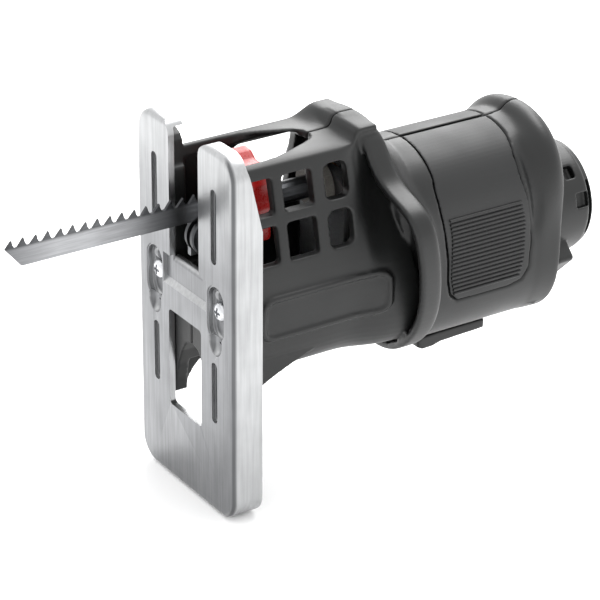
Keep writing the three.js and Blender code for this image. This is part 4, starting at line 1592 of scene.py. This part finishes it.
@dataclass
class ClampMetal:
    """The steel of the blade clamp and its back-up roller."""

    finishes: Finishes
    axis_z: float = 24.5
    roller_place: Point3 = (7.5, 0, 17.5)

    def build(self) -> None:
        """Makes the clamp body, its spring, its stop ring and the roller."""
        self.finish(self.barrel(), "clamp_barrel", "plunger", "clamp_body")
        self.finish(self.spring(), "lever_spring", "plunger", "clamp_spring")
        self.finish(self.stop_ring(), "stop_ring", "plunger", "clamp_stop_ring")
        self.finish(self.roller(), "grooved_roller", "guide_roller", "guide_roller")

    def finish(self, blank: Blank, name: str, body: str, node: str) -> None:
        """Finishes one piece in blackened steel."""
        finish_piece(blank, Fitting(name, body, "steel", (node,)), self.finishes.steel, 32)

    def barrel(self) -> Blank:
        """The clamp's barrel, flanged in front and slit for the blade.

        Returns:
            The closed body.
        """
        profile = [(14.0, 3.0), (14.0, 7.2), (14.5, 7.9), (15.6, 7.9), (16.0, 7.4), (16.0, 6.3),
                   (29.2, 6.3), (29.6, 5.9), (29.6, 3.8), (25.7, 3.8), (25.7, 3.0)]
        slit = block((12, -0.85, 22.3), (24, 0.85, 40))
        return turned(profile, 0, self.axis_z, 64).cut(slit)

    def spring(self) -> Blank:
        """The lever's spring, wound close, so that it is turned as one wavy ring.

        Returns:
            The closed body.
        """
        front, rear, bore = 25.75, 27.27, 6.75
        coils = [(front + 0.19 * i, 8.35 + 0.18 * (i % 2)) for i in range(9)]
        return turned([(front, bore), *coils, (rear, bore)][::-1], 0, self.axis_z, 64)

    def stop_ring(self) -> Blank:
        """The ring that keeps the spring on the barrel."""
        profile = [(27.95, 6.75), (28.95, 6.75), (28.95, 8.3), (28.7, 8.55), (28.2, 8.55), (27.95, 8.3)]
        return turned(profile, 0, self.axis_z, 64)

    def roller(self) -> Blank:
        """The roller behind the blade, with a groove for the blade's back.

        Returns:
            The closed body.
        """
        profile = [(-2.5, 1.8), (-2.5, 5.6), (-2.1, 6.0), (-0.9, 6.0), (-0.85, 4.8), (0.85, 4.8), (0.9, 6.0),
                   (2.1, 6.0), (2.5, 5.6), (2.5, 1.8)]
        across = Matrix.Rotation(math.radians(90), 4, "Z")
        return turned(profile, 0, 0, 64).place(Matrix.Translation(self.roller_place) @ across)


def dress_frame(finishes: Finishes, record: dict) -> None:
    """Gives every CAD node that still shows its own finish.

    Args:
        finishes: the head's materials.
        record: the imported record, which says each node's slot.
    """
    for entry in record["subparts"]:
        node = frame["nodes"][entry["node"]]
        if node.hide_render:
            continue
        node.data.materials.clear()
        node.data.materials.append(finishes.by_slot(entry["material_slot"]))
        log.info("%s: dressed in %s", entry["node"], entry["material_slot"])


# ---------------------------------------------------------------- studio
@dataclass
class Studio:
    """A pale floor, soft light all round and the camera."""

    camera_place: Point3 = (-0.4967, -0.6023, 0.3413)
    azimuth: float = 33.0455
    elevation: float = 25.9327
    roll: float = 0.3594
    lens_mm: float = 157.867
    shift: Point2 = (0.02434, -0.01717)

    def camera(self) -> None:
        """Sets the camera up."""
        a, e, roll = (math.radians(v) for v in (self.azimuth, self.elevation, self.roll))
        back = Vector((-math.cos(e) * math.sin(a), -math.cos(e) * math.cos(a), math.sin(e)))
        level = Vector((math.cos(a), -math.sin(a), 0))
        upright = back.cross(level)
        right = level * math.cos(roll) + upright * math.sin(roll)
        up = upright * math.cos(roll) - level * math.sin(roll)
        data = bpy.data.cameras.new("camera")
        data.lens = self.lens_mm
        data.sensor_width = 36.0
        data.shift_x, data.shift_y = self.shift
        data.clip_start, data.clip_end = 0.01, 50.0
        thing = bpy.data.objects.new("camera", data)
        bpy.context.scene.collection.objects.link(thing)
        turn = Matrix((right, up, back)).transposed().to_4x4()
        thing.matrix_world = Matrix.Translation(self.camera_place) @ turn
        bpy.context.scene.camera = thing

    def lamp(self, name: str, place: Point3, size: float, watts: float) -> None:
        """Hangs one square soft box that faces the object.

        Args:
            name: the lamp's name.
            place: where it hangs, in metres.
            size: the side of its square.
            watts: its power.
        """
        data = bpy.data.lights.new(name, "AREA")
        data.shape = "SQUARE"
        data.size = size
        data.energy = watts
        thing = bpy.data.objects.new(name, data)
        bpy.context.scene.collection.objects.link(thing)
        aim = Vector((-0.08, 0, 0)) - Vector(place)
        thing.matrix_world = Matrix.Translation(place) @ aim.to_track_quat("-Z", "Y").to_matrix().to_4x4()

    def floor(self) -> None:
        """Lays the pale floor just under the shoe."""
        shape = bmesh.new()
        bmesh.ops.create_grid(shape, x_segments=1, y_segments=1, size=6)
        mesh = bpy.data.meshes.new("floor")
        shape.to_mesh(mesh)
        shape.free()
        mesh.transform(Matrix.Translation((0, 0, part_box("shoe")[0].z - 0.0005)))
        floor = bpy.data.objects.new("floor", mesh)
        bpy.context.scene.collection.objects.link(floor)
        material, tree, place = new_material("matt_white_paint")
        speck = add_node(tree, "ShaderNodeTexNoise", Vector=place, Scale=per_metre(40), Detail=2.0)
        colour = blend_colours(tree, speck.outputs["Fac"], linear("#fafafa"), linear("#ffffff"))
        shader = add_node(tree, "ShaderNodeBsdfPrincipled", Base_Color=colour)
        shader.inputs["Roughness"].default_value = 0.95
        shader.inputs["Specular IOR Level"].default_value = 0.1
        output(tree, shader)
        mesh.materials.append(material)

    def world(self) -> None:
        """Surrounds the object with even white light."""
        world = bpy.data.worlds.new("studio")
        bpy.context.scene.world = world
        world.use_nodes = True
        tree = world.node_tree
        tree.nodes.clear()
        sky = add_node(tree, "ShaderNodeBackground", Color=linear("#ffffff"), Strength=1.5)
        add_node(tree, "ShaderNodeOutputWorld", Surface=sky.outputs[0])

    def build(self) -> None:
        """Sets up the whole studio."""
        self.camera()
        self.floor()
        self.world()
        self.lamp("key", (0.42, 0.12, 0.85), 0.45, 7.0)
        self.lamp("rear", (0.5, 0.62, 0.52), 0.6, 7.0)
        bpy.context.scene.view_settings.view_transform = "Standard"


def main() -> None:
    """Builds the studio and every piece of the head."""
    logging.basicConfig(level=logging.INFO, format="%(message)s")
    Studio().build()
    finishes = Finishes()
    DrawnShoe(finishes).build()
    housing = Housing(finishes)
    housing.build()
    GripInserts(finishes, housing).build()
    Coupling(finishes).build()
    SwitchTongue(finishes).build()
    SawBlade(finishes).build()
    ClampLever(finishes).build()
    ClampMetal(finishes).build()
    dress_frame(finishes, frame["record"])


if __name__ == "__main__":
    main()
